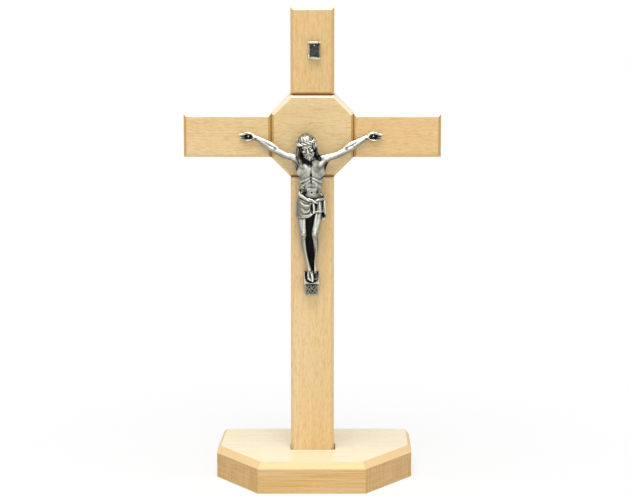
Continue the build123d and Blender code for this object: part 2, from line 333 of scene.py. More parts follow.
class Casting:
    """Metal as a field of numbers on a grid of points: below zero inside, rising outwards by the millimetre.

    Places are millimetres from the middle of the figure at the height of the hands: across to the viewer's
    right, up, and out from the wood. A form joins by a smooth minimum: the lower of the two fields, less a
    quarter of the blend times the square of the share of the blend by which the two come near each other. A
    cut is the same on the field turned over."""

    def __init__(self, low, high):
        self.low = np.array(low, float)
        counts = np.ceil((np.array(high) - self.low) / grid_step).astype(int) + 1
        self.field = np.full(counts, far_off, np.float32)

    def window(self, low, high):
        """Index ranges and coordinates of the grid points in a box."""
        first = np.floor((low - self.low) / grid_step).astype(int)
        last = np.ceil((high - self.low) / grid_step).astype(int) + 1
        first = np.clip(first, 0, self.field.shape)
        last = np.clip(last, 0, self.field.shape)
        axes = [self.low[i] + grid_step * np.arange(first[i], last[i]) for i in range(3)]
        axes = [axis.astype(np.float32) for axis in axes]
        return tuple(map(slice, first, last)), np.meshgrid(*axes, indexing="ij", sparse=True)

    def merge(self, spans, distance, blend, cut):
        """Join a field to the metal, or cut it out."""
        sign = -1 if cut else 1
        metal = sign * self.field[spans]
        near = np.maximum(blend - np.abs(metal - distance), 0) / blend
        self.field[spans] = sign * (np.minimum(metal, distance) - near * near * blend / 4)

    def limb(self, rows, blend, flat=1.0, cut=False, steps=5):
        """Round bar along a smooth path through rows of across, up, out and radius, thinned outwards by flat.

        The field is the distance to the nearest of the path's straight steps, less the radius there."""
        path = smooth_path(rows, steps)
        points = path[:, :3]
        radii = path[:, 3]
        reach = radii.max() + blend
        spans, _ = self.window(points.min(0) - reach, points.max(0) + reach)
        distance = np.full(self.field[spans].shape, far_off, np.float32)
        stretch = np.array([1, 1, 1 / flat])
        for start, end, start_radius, end_radius in zip(points, points[1:], radii, radii[1:]):
            inner, axes = self.window(np.minimum(start, end) - reach, np.maximum(start, end) + reach)
            inner = tuple(slice(i.start - s.start, i.stop - s.start) for i, s in zip(inner, spans))
            along = (end - start) * stretch
            offsets = [(axes[i] - start[i]) * stretch[i] for i in range(3)]
            share = sum(offset * part for offset, part in zip(offsets, along)) / max(along @ along, tiny)
            share = np.clip(share, 0, 1)
            apart = length_of([offset - share * part for offset, part in zip(offsets, along)])
            apart = apart - (start_radius + share * (end_radius - start_radius))
            np.minimum(distance[inner], apart, out=distance[inner])
        self.merge(spans, distance, blend, cut)

    def ball(self, centre, halves, blend, cut=False, turn=np.eye(3)):
        """Ball stretched to three half sizes along its own axes, which are the columns of turn.

        With the place divided by the half sizes, the field is its length times one less than that length,
        over the length of the place divided by the squares of the half sizes."""
        centre = np.asarray(centre, float)
        halves = np.asarray(halves, float)
        reach = length_of([turn[:, i] * halves[i] for i in range(3)]) + blend
        spans, axes = self.window(centre - reach, centre + reach)
        offsets = [axes[i] - centre[i] for i in range(3)]
        local = [sum(offsets[j] * turn[j, i] for j in range(3)) for i in range(3)]
        scaled = length_of([local[i] / halves[i] for i in range(3)])
        slope = length_of([local[i] / halves[i] ** 2 for i in range(3)])
        self.merge(spans, scaled * (scaled - 1) / np.maximum(slope, tiny), blend, cut)

    def trunk(self, rows, blend=0.8, hem=None):
        """Upright form through rows of up, across, out, half width and half depth, cut off below a hem.

        Its level sections are blunt ovals: on the skin, the shares of the half width and of the half depth,
        each to the power of the squareness, add up to one."""
        path = smooth_path(rows, 8)[::-1]
        foot, top = path[0, 0], path[-1, 0]
        reach = path[:, 3:].max() + blend
        low = np.array([path[:, 1].min() - reach, foot - blend, path[:, 2].min() - reach])
        high = np.array([path[:, 1].max() + reach, top + blend, path[:, 2].max() + reach])
        spans, (across, up, out) = self.window(low, high)
        middle, depth, width, thick = (np.interp(up, path[:, 0], path[:, i]) for i in range(1, 5))
        beside = np.abs((across - middle) / width) ** trunk_squareness
        before = np.abs((out - depth) / thick) ** trunk_squareness
        distance = ((beside + before) ** (1 / trunk_squareness) - 1) * np.minimum(width, thick)
        distance = np.maximum(distance, np.abs(up - (foot + top) / 2) - (top - foot) / 2)
        if hem is not None:
            hem = smooth_path(hem, 6)
            distance = np.maximum(distance, np.interp(across, hem[:, 0], hem[:, 1]) - up)
        self.merge(spans, distance, blend, False)

    def join(self, other, blend):
        """Join another casting whose grid points fall on those of this one."""
        first = np.rint((other.low - self.low) / grid_step).astype(int)
        spans = tuple(map(slice, first, first + other.field.shape))
        self.merge(spans, other.field, blend, False)

    def block(self, distance, low, high, blend, cut=False):
        """Form given by a function of across, up and out inside a box."""
        spans, axes = self.window(np.array(low) - blend, np.array(high) + blend)
        self.merge(spans, distance(*axes), blend, cut)


figure = Casting((-46.0, -101.4, 0.0), (46.0, 4.6, 15.4))
sides = (-1, 1)


def mirrored(rows, side, middle=0.0):
    """Rows of a form drawn on the right of a middle line, on the given side of it."""
    return [(middle + side * across, *rest) for across, *rest in rows]


def opposite(place, side, middle=0.0):
    """Place on the right of a middle line, on the given side of it."""
    return mirrored([place], side, middle)[0]


# Trunk of the body: up, across, out, half width and half depth
torso_rows = [
    (-10.5, -0.2, 5.0, 5.0, 2.3),
    (-13.5, 0.1, 5.3, 7.7, 3.1),
    (-17.0, 0.2, 5.7, 8.4, 3.9),
    (-20.5, 0.2, 5.9, 8.1, 4.2),
    (-24.0, 0.25, 5.9, 7.6, 4.1),
    (-27.5, 0.3, 5.7, 6.9, 3.7),
    (-31.0, 0.4, 5.4, 6.0, 3.3),
    (-34.0, 0.4, 5.3, 5.7, 3.2),
    (-37.5, 0.2, 5.4, 6.7, 3.4),
    (-42.0, 0.1, 5.6, 7.4, 3.6),
]
figure.trunk(torso_rows)

# Muscles and bones of the chest and belly, drawn on the right; across, up, out and radius
breast = [(2.0, -17.6, 7.5, 2.9), (4.1, -19.5, 7.6, 3.6), (5.9, -21.6, 7.0, 2.9)]
chest_strand = [(5.2, -17.8, 8.4, 1.7), (8.0, -14.6, 7.0, 1.6), (10.4, -12.9, 5.8, 1.8)]
collar_bone = [(0.8, -13.2, 7.9, 0.5), (4.2, -12.2, 7.6, 0.55), (8.6, -11.9, 6.4, 0.6)]
side_muscle = [(7.3, -22.0, 4.8, 1.2), (8.5, -17.0, 4.8, 1.6), (10.2, -13.2, 4.8, 1.9)]
upper_rib = [(1.0, -25.2, 9.0, 0.6), (3.4, -26.3, 8.8, 0.7), (6.3, -27.6, 7.4, 0.7)]
rib_arch = [(1.0, -27.0, 8.8, 0.7), (3.0, -28.4, 8.6, 0.75), (5.3, -30.6, 7.4, 0.75), (5.9, -32.0, 6.5, 0.5)]
flank = [(5.0, -31.0, 6.2, 0.9), (4.9, -34.2, 6.3, 1.1), (5.8, -37.2, 6.4, 1.3)]
belly_middle = 0.35
belly_pads = [(1.9, -29.5, 8.2), (1.7, -32.2, 7.9)]
belly_edge = [(2.9, -28.9, 7.9, 1.2), (2.9, -32.9, 7.6, 1.2)]
belly, right_hip, left_hip = (0.5, -35.4, 7.0), (6.4, -35.8, 6.9), (-5.7, -34.3, 7.1)
for side in sides:
    figure.limb(mirrored(breast, side), 0.6, flat=0.62)
    figure.limb(mirrored(chest_strand, side), 0.9)
    figure.limb(mirrored(collar_bone, side), 0.7)
    figure.limb(mirrored(side_muscle, side), 0.9)
    figure.limb(mirrored(upper_rib, side), 0.8)
    figure.limb(mirrored(rib_arch, side), 0.8)
    for rib in range(3):
        drop = 1.9 * rib
        inset = 0.3 + 0.35 * rib
        rib_rows = [
            (5.6 - inset, -27.8 - drop, 7.7, 0.5),
            (6.6 - inset, -26.9 - drop, 6.9, 0.55),
            (7.3 - inset, -25.9 - drop, 5.8, 0.5),
        ]
        figure.limb(mirrored(rib_rows, side), 0.4)
    for pad, blend in zip(mirrored(belly_pads, side, belly_middle), (0.8, 0.9)):
        figure.ball(pad, (1.9, 1.3, 1.0), blend)
    figure.limb(mirrored(belly_edge, side, belly_middle), 0.8)
    figure.limb(mirrored(flank, side), 0.8)
figure.ball(belly, (3.9, 3.8, 2.2), 0.9)
figure.ball(right_hip, (1.2, 1.1, 1.1), 0.4)
figure.ball(left_hip, (1.0, 0.9, 1.0), 0.4)

# Furrows of the breast bone, under the chest, between the ribs and on the belly; across, up, out and radius
breast_furrow = [
    (0.0, -15.0, 9.3, 0.4),
    (0.0, -19.0, 10.4, 0.5),
    (0.0, -23.4, 10.3, 0.7),
    (0.1, -27.2, 9.8, 0.5),
]
belly_furrow = [(0.2, -27.4, 9.7, 0.5), (0.3, -30.0, 9.6, 0.3), (0.35, -32.0, 9.4, 0.2)]
under_breast = [
    (0.6, -23.9, 10.3, 0.42),
    (3.0, -24.9, 10.2, 0.42),
    (5.9, -25.8, 9.05, 0.44),
    (7.6, -24.6, 7.5, 0.4),
]
under_rib = [(0.8, -26.1, 10.1, 0.38), (3.2, -27.2, 9.9, 0.4), (5.6, -28.7, 8.75, 0.38)]
groin = [(4.0, -33.6, 9.1, 0.5), (3.8, -35.7, 9.2, 0.5), (2.8, -37.4, 9.8, 0.4)]
groin_middle, hollow_middle = 0.5, 0.45
side_hollow = (3.85, -33.6, 9.1)
navel = (0.5, -34.2, 9.4)
figure.limb(breast_furrow, 0.5, cut=True)
figure.limb(belly_furrow, 0.4, cut=True)

# Pits of the breast bone: across, up, half width and half height
breast_pits = [(0.05, -23.3, 0.5, 1.1), (-0.15, -25.5, 0.35, 0.6), (0.1, -27.9, 0.4, 0.9)]
for pit_across, pit_up, pit_half, pit_height in breast_pits:
    figure.ball((pit_across, pit_up, 10.1), (pit_half, pit_height, 0.7), 0.6, cut=True)
figure.ball(navel, (0.6, 0.5, 0.6), 0.6, cut=True)
for side in sides:
    figure.limb(mirrored(under_breast, side), 0.5, cut=True)
    figure.limb(mirrored(under_rib, side), 0.5, cut=True)
    figure.limb(mirrored(groin, side, groin_middle), 0.6, cut=True)
    figure.ball(opposite(side_hollow, side, hollow_middle), (0.8, 1.7, 1.0), 0.9, cut=True)

# Arms and hands, drawn on the right: across, up, out and radius
arm = [
    (7.6, -13.4, 5.4, 2.5),
    (9.8, -12.7, 5.2, 2.4),
    (12.9, -12.0, 4.9, 2.1),
    (16.0, -11.0, 4.5, 2.1),
    (19.0, -9.5, 4.1, 2.1),
    (22.0, -7.9, 3.7, 2.3),
    (25.0, -6.2, 3.3, 2.35),
    (28.3, -4.2, 2.8, 1.95),
    (31.5, -2.1, 2.3, 1.6),
    (34.5, -0.6, 1.8, 1.35),
    (36.5, -0.2, 1.6, 1.4),
]
shoulder, palm, knuckles = (11.2, -12.0, 5.9), (38.2, -0.2, 1.0), (41.2, -0.15, 0.9)
upper_arm_front = [(13.6, -11.5, 5.7, 1.1), (17.0, -10.1, 5.5, 1.35), (20.4, -8.2, 4.8, 0.9)]
upper_arm_back = [(13.6, -13.0, 4.3, 1.1), (17.6, -11.5, 4.0, 1.25), (21.0, -9.6, 3.7, 1.0)]
forearm_top = [
    (20.6, -7.0, 4.6, 1.0),
    (24.0, -4.7, 4.5, 1.3),
    (28.0, -2.8, 3.6, 0.95),
    (32.5, -0.7, 2.6, 0.6),
]
forearm_low = [
    (21.6, -9.5, 4.0, 1.0),
    (25.4, -7.5, 3.9, 1.2),
    (29.5, -4.6, 3.0, 0.9),
    (33.2, -1.9, 2.2, 0.7),
]
elbow_hollow = [(20.9, -7.5, 6.8, 0.8), (23.0, -6.7, 6.8, 0.85)]
forearm_groove = [(23.2, -6.6, 6.4, 0.6), (27.5, -4.1, 5.3, 0.45), (31.5, -1.9, 4.4, 0.3)]
palm_edge = [(35.4, -1.2, 1.9, 0.75), (37.8, -2.4, 2.1, 0.6), (40.4, -2.5, 2.1, 0.42)]
thumb = [(35.0, 0.5, 2.1, 0.9), (36.8, 1.75, 2.5, 0.66), (38.8, 2.25, 2.8, 0.52), (40.7, 2.3, 3.0, 0.36)]
palm_hollow = [(37.2, -0.6, 3.2, 1.5), (38.5, -0.4, 3.2, 1.75), (40.0, -0.3, 3.3, 1.5)]
wrist_crease = [(35.7, 1.0, 2.5, 0.35), (35.9, -0.2, 2.9, 0.4), (35.5, -1.2, 2.4, 0.35)]
fingers = [
    [(39.9, 1.2, 1.9, 0.3), (41.6, 1.4, 2.3, 0.3), (43.9, 1.3, 2.6, 0.26)],
    [(39.8, 0.25, 1.7, 0.24), (41.8, 0.38, 2.4, 0.27), (44.1, 0.3, 2.7, 0.25)],
    [(39.8, -0.7, 1.7, 0.24), (41.6, -0.68, 2.3, 0.27), (43.8, -0.7, 2.6, 0.24)],
    [(39.6, -1.6, 1.7, 0.26), (41.2, -1.7, 2.2, 0.27), (43.0, -1.7, 2.5, 0.24)],
]
for side in sides:
    figure.limb(mirrored(arm, side), 0.9)
    figure.ball(opposite(shoulder, side), (2.2, 1.6, 1.4), 0.5)
    for muscle in (upper_arm_front, upper_arm_back, forearm_top, forearm_low):
        figure.limb(mirrored(muscle, side), 0.4)
    figure.limb(mirrored(elbow_hollow, side), 0.5, cut=True)
    figure.limb(mirrored(forearm_groove, side), 0.35, cut=True)
    figure.ball(opposite(palm, side), (3.0, 2.4, 1.3), 0.3)
    figure.limb(mirrored(palm_edge, side), 0.3)
    figure.limb(mirrored(thumb, side), 0.3)
    figure.limb(mirrored(wrist_crease, side), 0.4)
    figure.limb(mirrored(palm_hollow, side), 0.25, cut=True)
    figure.ball(opposite(knuckles, side), (2.5, 1.9, 0.9), 0.2)
    for finger in fingers:
        figure.limb(mirrored(finger, side), 0.1)

# Legs, with a thin web of metal between them; across, up, out and radius
left_leg = [
    (-4.6, -44.0, 6.0, 3.0),
    (-5.4, -48.5, 6.7, 2.6),
    (-5.5, -52.5, 7.5, 2.25),
    (-4.9, -56.5, 8.3, 2.15),
    (-4.4, -60.0, 8.7, 2.05),
    (-4.1, -64.0, 8.0, 1.45),
    (-3.8, -68.0, 7.2, 1.4),
    (-3.2, -72.0, 6.6, 1.3),
    (-2.3, -76.0, 6.2, 1.15),
    (-1.3, -80.0, 6.1, 1.1),
    (-0.6, -83.2, 6.2, 1.2),
]
right_leg = [
    (4.6, -44.0, 6.0, 3.0),
    (4.6, -48.0, 6.7, 2.5),
    (4.1, -52.0, 7.5, 2.2),
    (2.9, -56.5, 8.3, 2.3),
    (2.3, -60.0, 8.8, 2.2),
    (2.3, -64.0, 8.0, 1.65),
    (2.7, -68.0, 6.9, 1.45),
    (2.75, -72.0, 5.9, 1.25),
    (2.4, -76.0, 5.1, 1.0),
    (2.15, -80.0, 4.6, 0.95),
    (2.3, -83.6, 4.4, 1.1),
]
leg_web = [
    (0.0, -44.7, 5.0, 4.1),
    (-0.6, -54.0, 6.0, 4.0),
    (-0.6, -63.6, 6.1, 3.2),
    (0.1, -73.0, 4.8, 2.7),
    (1.1, -82.6, 4.2, 1.4),
]
leg_muscles = [
    [(-6.3, -48.0, 7.8, 1.2), (-5.9, -53.0, 8.7, 1.2), (-5.2, -57.6, 9.2, 0.9)],
    [(-4.5, -48.0, 8.1, 1.2), (-4.3, -53.0, 8.9, 1.2), (-4.1, -57.6, 9.4, 0.9)],
    [(-5.0, -63.0, 6.6, 1.1), (-4.8, -67.0, 5.9, 1.3), (-3.6, -72.6, 5.6, 0.9)],
    [(3.4, -47.0, 8.2, 1.1), (2.9, -52.0, 8.9, 1.2), (2.0, -57.6, 9.6, 0.9)],
    [(5.3, -47.0, 8.0, 1.1), (4.7, -52.0, 8.7, 1.2), (3.3, -57.6, 9.5, 0.9)],
    [(3.3, -63.0, 6.7, 1.1), (3.6, -67.0, 5.7, 1.3), (3.2, -72.6, 4.9, 0.9)],
]
shin_bones = [
    [(-4.2, -62.0, 9.7, 0.6), (-3.8, -67.0, 8.5, 0.5), (-3.0, -73.0, 7.6, 0.45), (-1.5, -79.5, 7.0, 0.4)],
    [(2.2, -62.0, 9.7, 0.6), (2.2, -67.0, 8.3, 0.5), (2.3, -73.0, 6.6, 0.45), (2.0, -79.5, 5.4, 0.4)],
]
web_ridge = [(-1.0, -63.0, 6.7, 0.35), (-0.4, -69.0, 6.1, 0.4), (0.4, -75.5, 5.3, 0.3)]
knees = [(-4.5, -59.8, 9.9), (2.4, -59.8, 10.1)]
figure.limb(leg_web, 0.3, flat=0.2)
figure.limb(web_ridge, 0.3)
for leg in (left_leg, right_leg):
    figure.limb(leg, 0.3)
for muscle in leg_muscles:
    figure.limb(muscle, 0.7)
for bone in shin_bones:
    figure.limb(bone, 0.4)
for knee_across, knee_up, knee_out in knees:
    figure.ball((knee_across, knee_up, knee_out), (1.3, 1.5, 0.9), 0.8)
    figure.ball((knee_across, knee_up - 2.2, knee_out - 0.3), (1.0, 1.2, 0.7), 0.8)

# Feet, one over the other, with four small toes to each; across, up, out and radius
front_foot = [
    (-0.7, -82.4, 6.1, 1.15),
    (-0.1, -84.8, 5.85, 1.25),
    (0.4, -86.6, 6.1, 1.2),
    (0.8, -88.6, 6.5, 0.95),
    (0.95, -90.3, 6.8, 0.6),
]
foot_side = [(-1.0, -84.6, 5.6, 1.1), (-1.2, -87.2, 5.8, 1.1), (-0.6, -89.0, 6.2, 0.8)]
rear_foot = [(2.3, -83.4, 4.5, 1.0), (2.7, -86.2, 4.5, 1.2), (3.1, -88.4, 4.8, 1.1), (3.3, -89.6, 5.0, 0.7)]
figure.limb(rear_foot, 0.3, flat=0.8)
for toe in range(4):
    root = (2.3 + 0.5 * toe, -87.8 + 0.2 * toe, 5.4, 0.36)
    figure.limb([root, (root[0] + 0.1, root[1] - 1.8, 5.6, 0.32)], 0.1)
figure.limb(foot_side, 0.4)
figure.limb(front_foot, 0.3)
for toe in range(4):
    root = (-1.1 + 0.4 * toe, -87.2 - 0.4 * toe, 6.7, 0.34)
    figure.limb([root, (root[0] - 0.7 + 0.1 * toe, root[1] - 1.5, 6.8, 0.36)], 0.1)
    figure.limb([(0.2 * root[0] - 0.3, -85.2, 6.9, 0.2), root], 0.3)

# Footrest: a sloping plate with a recess round the feet, over a block with a rough panel
footrest_across = 0.45
plate_top, plate_low, plate_half = -85.2, -92.3, 4.75
plate_top_out, plate_low_out = 2.9, 6.0
tray_half, tray_drop, tray_depth = 4.3, 6.3, 0.45
block_top, block_low, block_half = -91.9, -99.6, 4.0
block_top_out, block_low_out = 5.9, 4.9
panel_top, panel_low, panel_half = -92.6, -99.2, 3.6
panel_top_out, panel_low_out, panel_rough = 5.6, 4.65, 0.18


def rectangle(across, up, half, top, low):
    """Distance outside an upright rectangle about the middle of the footrest."""
    beside = np.abs(across - footrest_across) - half
    above = np.abs(up - (top + low) / 2) - (top - low) / 2
    return np.maximum(beside, above)


def sloping(up, top, low, top_out, low_out):
    """How far out a front lies that slopes evenly from its top to its foot."""
    return low_out + (top_out - low_out) * (up - low) / (top - low)


def plate_field(across, up, out):
    """Field of the plate: a rectangle seen from the front, behind a sloping front."""
    front = sloping(up, plate_top, plate_low, plate_top_out, plate_low_out)
    return np.maximum(rectangle(across, up, plate_half, plate_top, plate_low), out - front)


def plate_front(up):
    """How far out the plate's front lies at a height, going on level above and below the plate."""
    return np.interp(up, [plate_low, plate_top], [plate_low_out, plate_top_out])


def tray_share(across, up):
    """Share of the way to the recess's rim, a blunt oval: the cubes of the shares across and down add up."""
    beside = np.abs((across - footrest_across) / tray_half) ** 3
    below = np.abs((up - plate_top) / tray_drop) ** 3
    return (beside + below) ** (1 / 3)


def tray_field(across, up, out):
    """Field of the shallow recess round the feet: what lies before its floor within its rim."""
    return np.maximum((tray_share(across, up) - 1) * tray_half, plate_front(up) - tray_depth - out)


def block_field(across, up, out):
    """Field of the block under the plate, made as the plate is."""
    front = sloping(up, block_top, block_low, block_top_out, block_low_out)
    return np.maximum(rectangle(across, up, block_half, block_top, block_low), out - front)


def panel_field(across, up, out):
    """Field of the hollow in the block's front: what lies before a slope made uneven by a few sines."""
    broad = np.sin(2.1 * across + 0.5 * np.sin(1.3 * up)) * np.sin(1.9 * up + 0.6 * np.sin(1.7 * across))
    fine = np.sin(3.3 * across + 0.9 * up) * np.sin(2.9 * up - 0.7 * across)
    floor = sloping(up, panel_top, panel_low, panel_top_out, panel_low_out)
    floor = floor + panel_rough * (broad + 0.5 * fine)
    return np.maximum(rectangle(across, up, panel_half, panel_top, panel_low), floor - out)


plate_box = (-6, -94, -1), (7, -84, 8)
block_box = (-6, -101, -1), (7, -91, 8)
foot_hollow = [(-0.4, -84.6, 5.6, 2.6), (0.0, -88.0, 6.8, 2.9), (0.2, -89.6, 7.4, 2.5)]
footrest = Casting((-6.0, -101.0, 0.0), (7.0, -83.0, 9.0))
footrest.block(plate_field, *plate_box, 0.15)
footrest.block(tray_field, *plate_box, 0.15, cut=True)
footrest.block(block_field, *block_box, 0.15)
footrest.block(panel_field, *block_box, 0.2, cut=True)
footrest.limb(foot_hollow, 0.3, cut=True)
figure.join(footrest, 0.1)

# Loincloth: up, across, out, half width and half depth; then its hem as across and up
cloth_rows = [
    (-36.3, 0.0, 5.0, 7.2, 3.1),
    (-37.9, 0.0, 5.2, 7.7, 3.4),
    (-39.0, 0.0, 5.8, 8.0, 4.1),
    (-41.0, 0.1, 6.0, 8.5, 4.3),
    (-45.0, 0.15, 6.3, 8.9, 4.4),
    (-50.4, 0.2, 6.6, 9.0, 4.4),
]
cloth_hem = [
    (-10.0, -49.6),
    (-5.1, -49.7),
    (-1.2, -49.0),
    (0.9, -47.3),
    (2.2, -46.0),
    (6.8, -45.9),
    (10.0, -47.6),
]


def cloth_front(across, up):
    """How far out the loincloth's front lies at a place, on the blunt oval of its level section."""
    path = smooth_path(cloth_rows, 8)[::-1]
    middle, depth, width, thick = (np.interp(up, path[:, 0], path[:, i]) for i in range(1, 5))
    left_over = max(1 - abs((across - middle) / width) ** trunk_squareness, 0.0)
    return depth + thick * left_over ** (1 / trunk_squareness)


def on_cloth(rows, proud):
    """Rows of across, up and radius laid on the front of the loincloth, or so far proud of it."""
    return [(across, up, cloth_front(across, up) + proud, radius) for across, up, radius in rows]


draped_ridges = [
    [(-6.4, -40.2, 0.3), (-4.2, -42.4, 0.45), (-1.8, -42.2, 0.45), (0.0, -40.6, 0.3)],
    [(-5.9, -44.2, 0.3), (-4.2, -46.2, 0.5), (-2.2, -46.0, 0.55), (-0.2, -43.4, 0.4)],
    [(-6.6, -47.6, 0.2), (-4.4, -48.6, 0.45), (-1.8, -47.8, 0.55), (0.2, -45.2, 0.4)],
    [(-8.0, -49.4, 0.3), (-5.1, -49.5, 0.35), (-1.4, -48.9, 0.4), (0.7, -47.3, 0.35)],
    [(-8.0, -38.6, 0.3), (-8.5, -43.0, 0.4), (-8.6, -49.2, 0.4)],
]
hanging_ridges = [
    [(1.5, -40.6, 0.6), (1.8, -43.4, 0.75), (1.7, -46.2, 0.75)],
    [(5.2, -39.8, 0.7), (5.5, -43.2, 0.85), (5.6, -45.8, 0.8)],
    [(1.6, -46.2, 0.4), (3.6, -45.7, 0.4), (6.6, -45.9, 0.35)],
]
cloth_furrows = [
    [(-5.6, -39.9, 0.25), (-3.4, -41.1, 0.3), (-1.2, -41.0, 0.3)],
    [(-4.6, -43.8, 0.2), (-2.8, -44.8, 0.3), (-0.8, -43.7, 0.3), (0.1, -42.0, 0.25)],
    [(-3.6, -47.4, 0.2), (-1.6, -47.0, 0.3), (-0.2, -45.1, 0.3), (0.3, -43.0, 0.25)],
    [(0.5, -41.6, 0.5), (0.5, -43.8, 0.65), (0.6, -46.4, 0.6)],
    [(3.2, -40.8, 0.5), (3.4, -42.8, 0.6), (3.4, -45.0, 0.3)],
    [(7.4, -39.4, 0.35), (7.5, -42.6, 0.5), (7.6, -46.4, 0.45)],
]
cloth_tail = [
    (8.3, -38.2, 7.2, 0.6),
    (8.5, -42.4, 7.8, 0.7),
    (8.8, -46.6, 8.0, 0.7),
    (8.9, -49.2, 7.8, 0.5),
    (7.2, -51.6, 7.6, 0.3),
]
tail_lining = [(8.2, -45.6, 6.4, 1.3), (8.2, -48.6, 6.6, 1.1), (7.4, -50.8, 7.0, 0.5)]
cloth_bands = [
    [
        (-6.8, -33.2, 4.6, 0.8),
        (-6.9, -34.9, 7.2, 1.0),
        (-5.2, -36.7, 9.0, 1.1),
        (-2.7, -38.2, 9.9, 1.0),
        (-0.4, -39.3, 10.2, 0.7),
    ],
    [
        (2.4, -39.2, 10.2, 0.5),
        (4.4, -38.5, 10.3, 0.85),
        (6.8, -38.2, 9.2, 0.85),
        (8.3, -37.9, 7.4, 0.8),
        (8.5, -36.6, 5.2, 0.7),
    ],
    [
        (-1.8, -37.6, 9.8, 0.4),
        (0.0, -38.4, 10.5, 0.75),
        (2.1, -39.5, 10.9, 0.85),
        (4.1, -40.4, 10.4, 0.5),
    ],
]
figure.trunk(cloth_rows, 0.25, hem=cloth_hem)
for ridge in draped_ridges:
    figure.limb(on_cloth(ridge, -0.32), 0.9)
for ridge in hanging_ridges:
    figure.limb(on_cloth(ridge, -0.12), 0.9)
for furrow in cloth_furrows:
    figure.limb(on_cloth(furrow, 0.15), 0.5, cut=True)
figure.limb(tail_lining, 0.3, flat=0.4)
figure.limb(cloth_tail, 0.3)
for band in cloth_bands:
    figure.limb(band, 0.12)
    for height in (-0.35, 0.3):
        crease = [
            (across, up + height * radius, out + 0.98 * radius, 0.14)
            for across, up, out, radius in band[1:-1]
        ]
        figure.limb(crease, 0.3, cut=True)

# Neck and head. The head has axes of its own: across, up and forward from the middle of the skull
head_middle = np.array([-2.7, -3.5, 8.7])
head_nod = math.radians(16)
head_lean = math.radians(11)
lean_sine, lean_cosine = math.sin(head_lean), math.cos(head_lean)
nod_sine, nod_cosine = math.sin(head_nod), math.cos(head_nod)
head_turn = np.array([
    [lean_cosine, -lean_sine * nod_cosine, lean_sine * nod_sine],
    [lean_sine, lean_cosine * nod_cosine, -lean_cosine * nod_sine],
    [0.0, nod_sine, nod_cosine],
])


def on_head(rows):
    """Rows of a form on the head, in the axes of the figure."""
    rows = np.asarray(rows, float)
    return np.column_stack([head_middle + rows[:, :3] @ head_turn.T, rows[:, 3]])


def head_ball(centre, halves, blend, cut=False):
    """Ball on the head, along the head's own axes."""
    figure.ball(head_middle + head_turn @ np.array(centre), halves, blend, cut, head_turn)


neck = [(-1.8, -8.5, 7.2, 2.6), (-0.8, -11.5, 6.4, 2.4), (0.0, -14.5, 5.8, 2.6)]
figure.limb(neck, 0.8)
for side in sides:
    neck_cord = [(-1.4 + side * 2.2, -9.0, 8.6, 0.7), (side * 0.9, -13.4, 8.5, 0.6)]
    figure.limb(neck_cord, 0.4)

# Skull, brow, eyes, cheeks, nose, lips and jaw, those of which there are two drawn on the right
brow = [(0.5, -0.6, 5.1, 0.42), (1.7, -0.3, 4.9, 0.45), (2.9, -0.9, 3.9, 0.4)]
eyelid = [(0.9, -2.0, 5.1, 0.12), (1.6, -2.15, 5.15, 0.14), (2.3, -2.0, 4.75, 0.12)]
eye_socket, eye, cheek, nostril = (1.6, -1.75, 5.6), (1.6, -1.75, 4.35), (2.3, -3.3, 4.0), (0.55, -3.75, 5.35)
nose = [(0, -0.9, 5.1, 0.4), (0, -2.4, 5.6, 0.45), (0, -3.6, 6.0, 0.55)]
upper_lip = [(-1.1, -5.5, 4.75, 0.2), (0, -5.3, 5.15, 0.3), (1.1, -5.5, 4.75, 0.2)]
lower_lip = [(-0.9, -5.8, 4.75, 0.24), (0, -5.85, 5.1, 0.32), (0.9, -5.8, 4.75, 0.24)]
skull, forehead, face, jaw = (0, 0.9, -0.6), (0, 0.2, 1.2), (0, -3.4, 1.6), (0, -6.6, 2.4)
head_ball(skull, (4.9, 5.0, 5.0), 0.4)
head_ball(forehead, (4.0, 4.3, 4.0), 0.3)
head_ball(face, (3.5, 4.4, 3.5), 0.6)
head_ball(jaw, (2.5, 2.4, 2.2), 0.6)
for side in sides:
    figure.limb(on_head(mirrored(brow, side)), 0.4)
    head_ball(opposite(eye_socket, side), (0.95, 0.7, 0.95), 0.4, cut=True)
    head_ball(opposite(eye, side), (0.85, 0.6, 0.7), 0.15)
    figure.limb(on_head(mirrored(eyelid, side)), 0.1, cut=True)
    head_ball(opposite(cheek, side), (1.1, 0.9, 0.9), 0.6)
    head_ball(opposite(nostril, side), (0.42, 0.38, 0.42), 0.2)
figure.limb(on_head(nose), 0.4)
figure.limb(on_head(upper_lip), 0.15)
figure.limb(on_head(lower_lip), 0.1)

# Beard and moustache in wavy strands
moustache = [(0.3, -4.6, 5.25, 0.35), (1.4, -5.1, 4.9, 0.4), (2.1, -6.8, 4.1, 0.4)]
for side in sides:
    figure.limb(on_head(mirrored(moustache, side)), 0.2)
    for strand in range(5):
        start = side * (0.3 + 0.62 * strand)
        wave = 0.25 * (-1) ** strand
        beard = [
            (start, -6.9 + 0.5 * strand, 4.6 - 0.32 * strand, 0.45),
            (0.85 * start + wave, -8.2 + 0.3 * strand, 4.55 - 0.22 * strand, 0.48),
            (0.55 * start - wave, -9.6 + 0.25 * strand, 4.2 - 0.15 * strand, 0.4),
            (0.4 * start, -10.6 + 0.3 * strand, 3.9 - 0.1 * strand, 0.25),
        ]
        figure.limb(on_head(beard), 0.18)

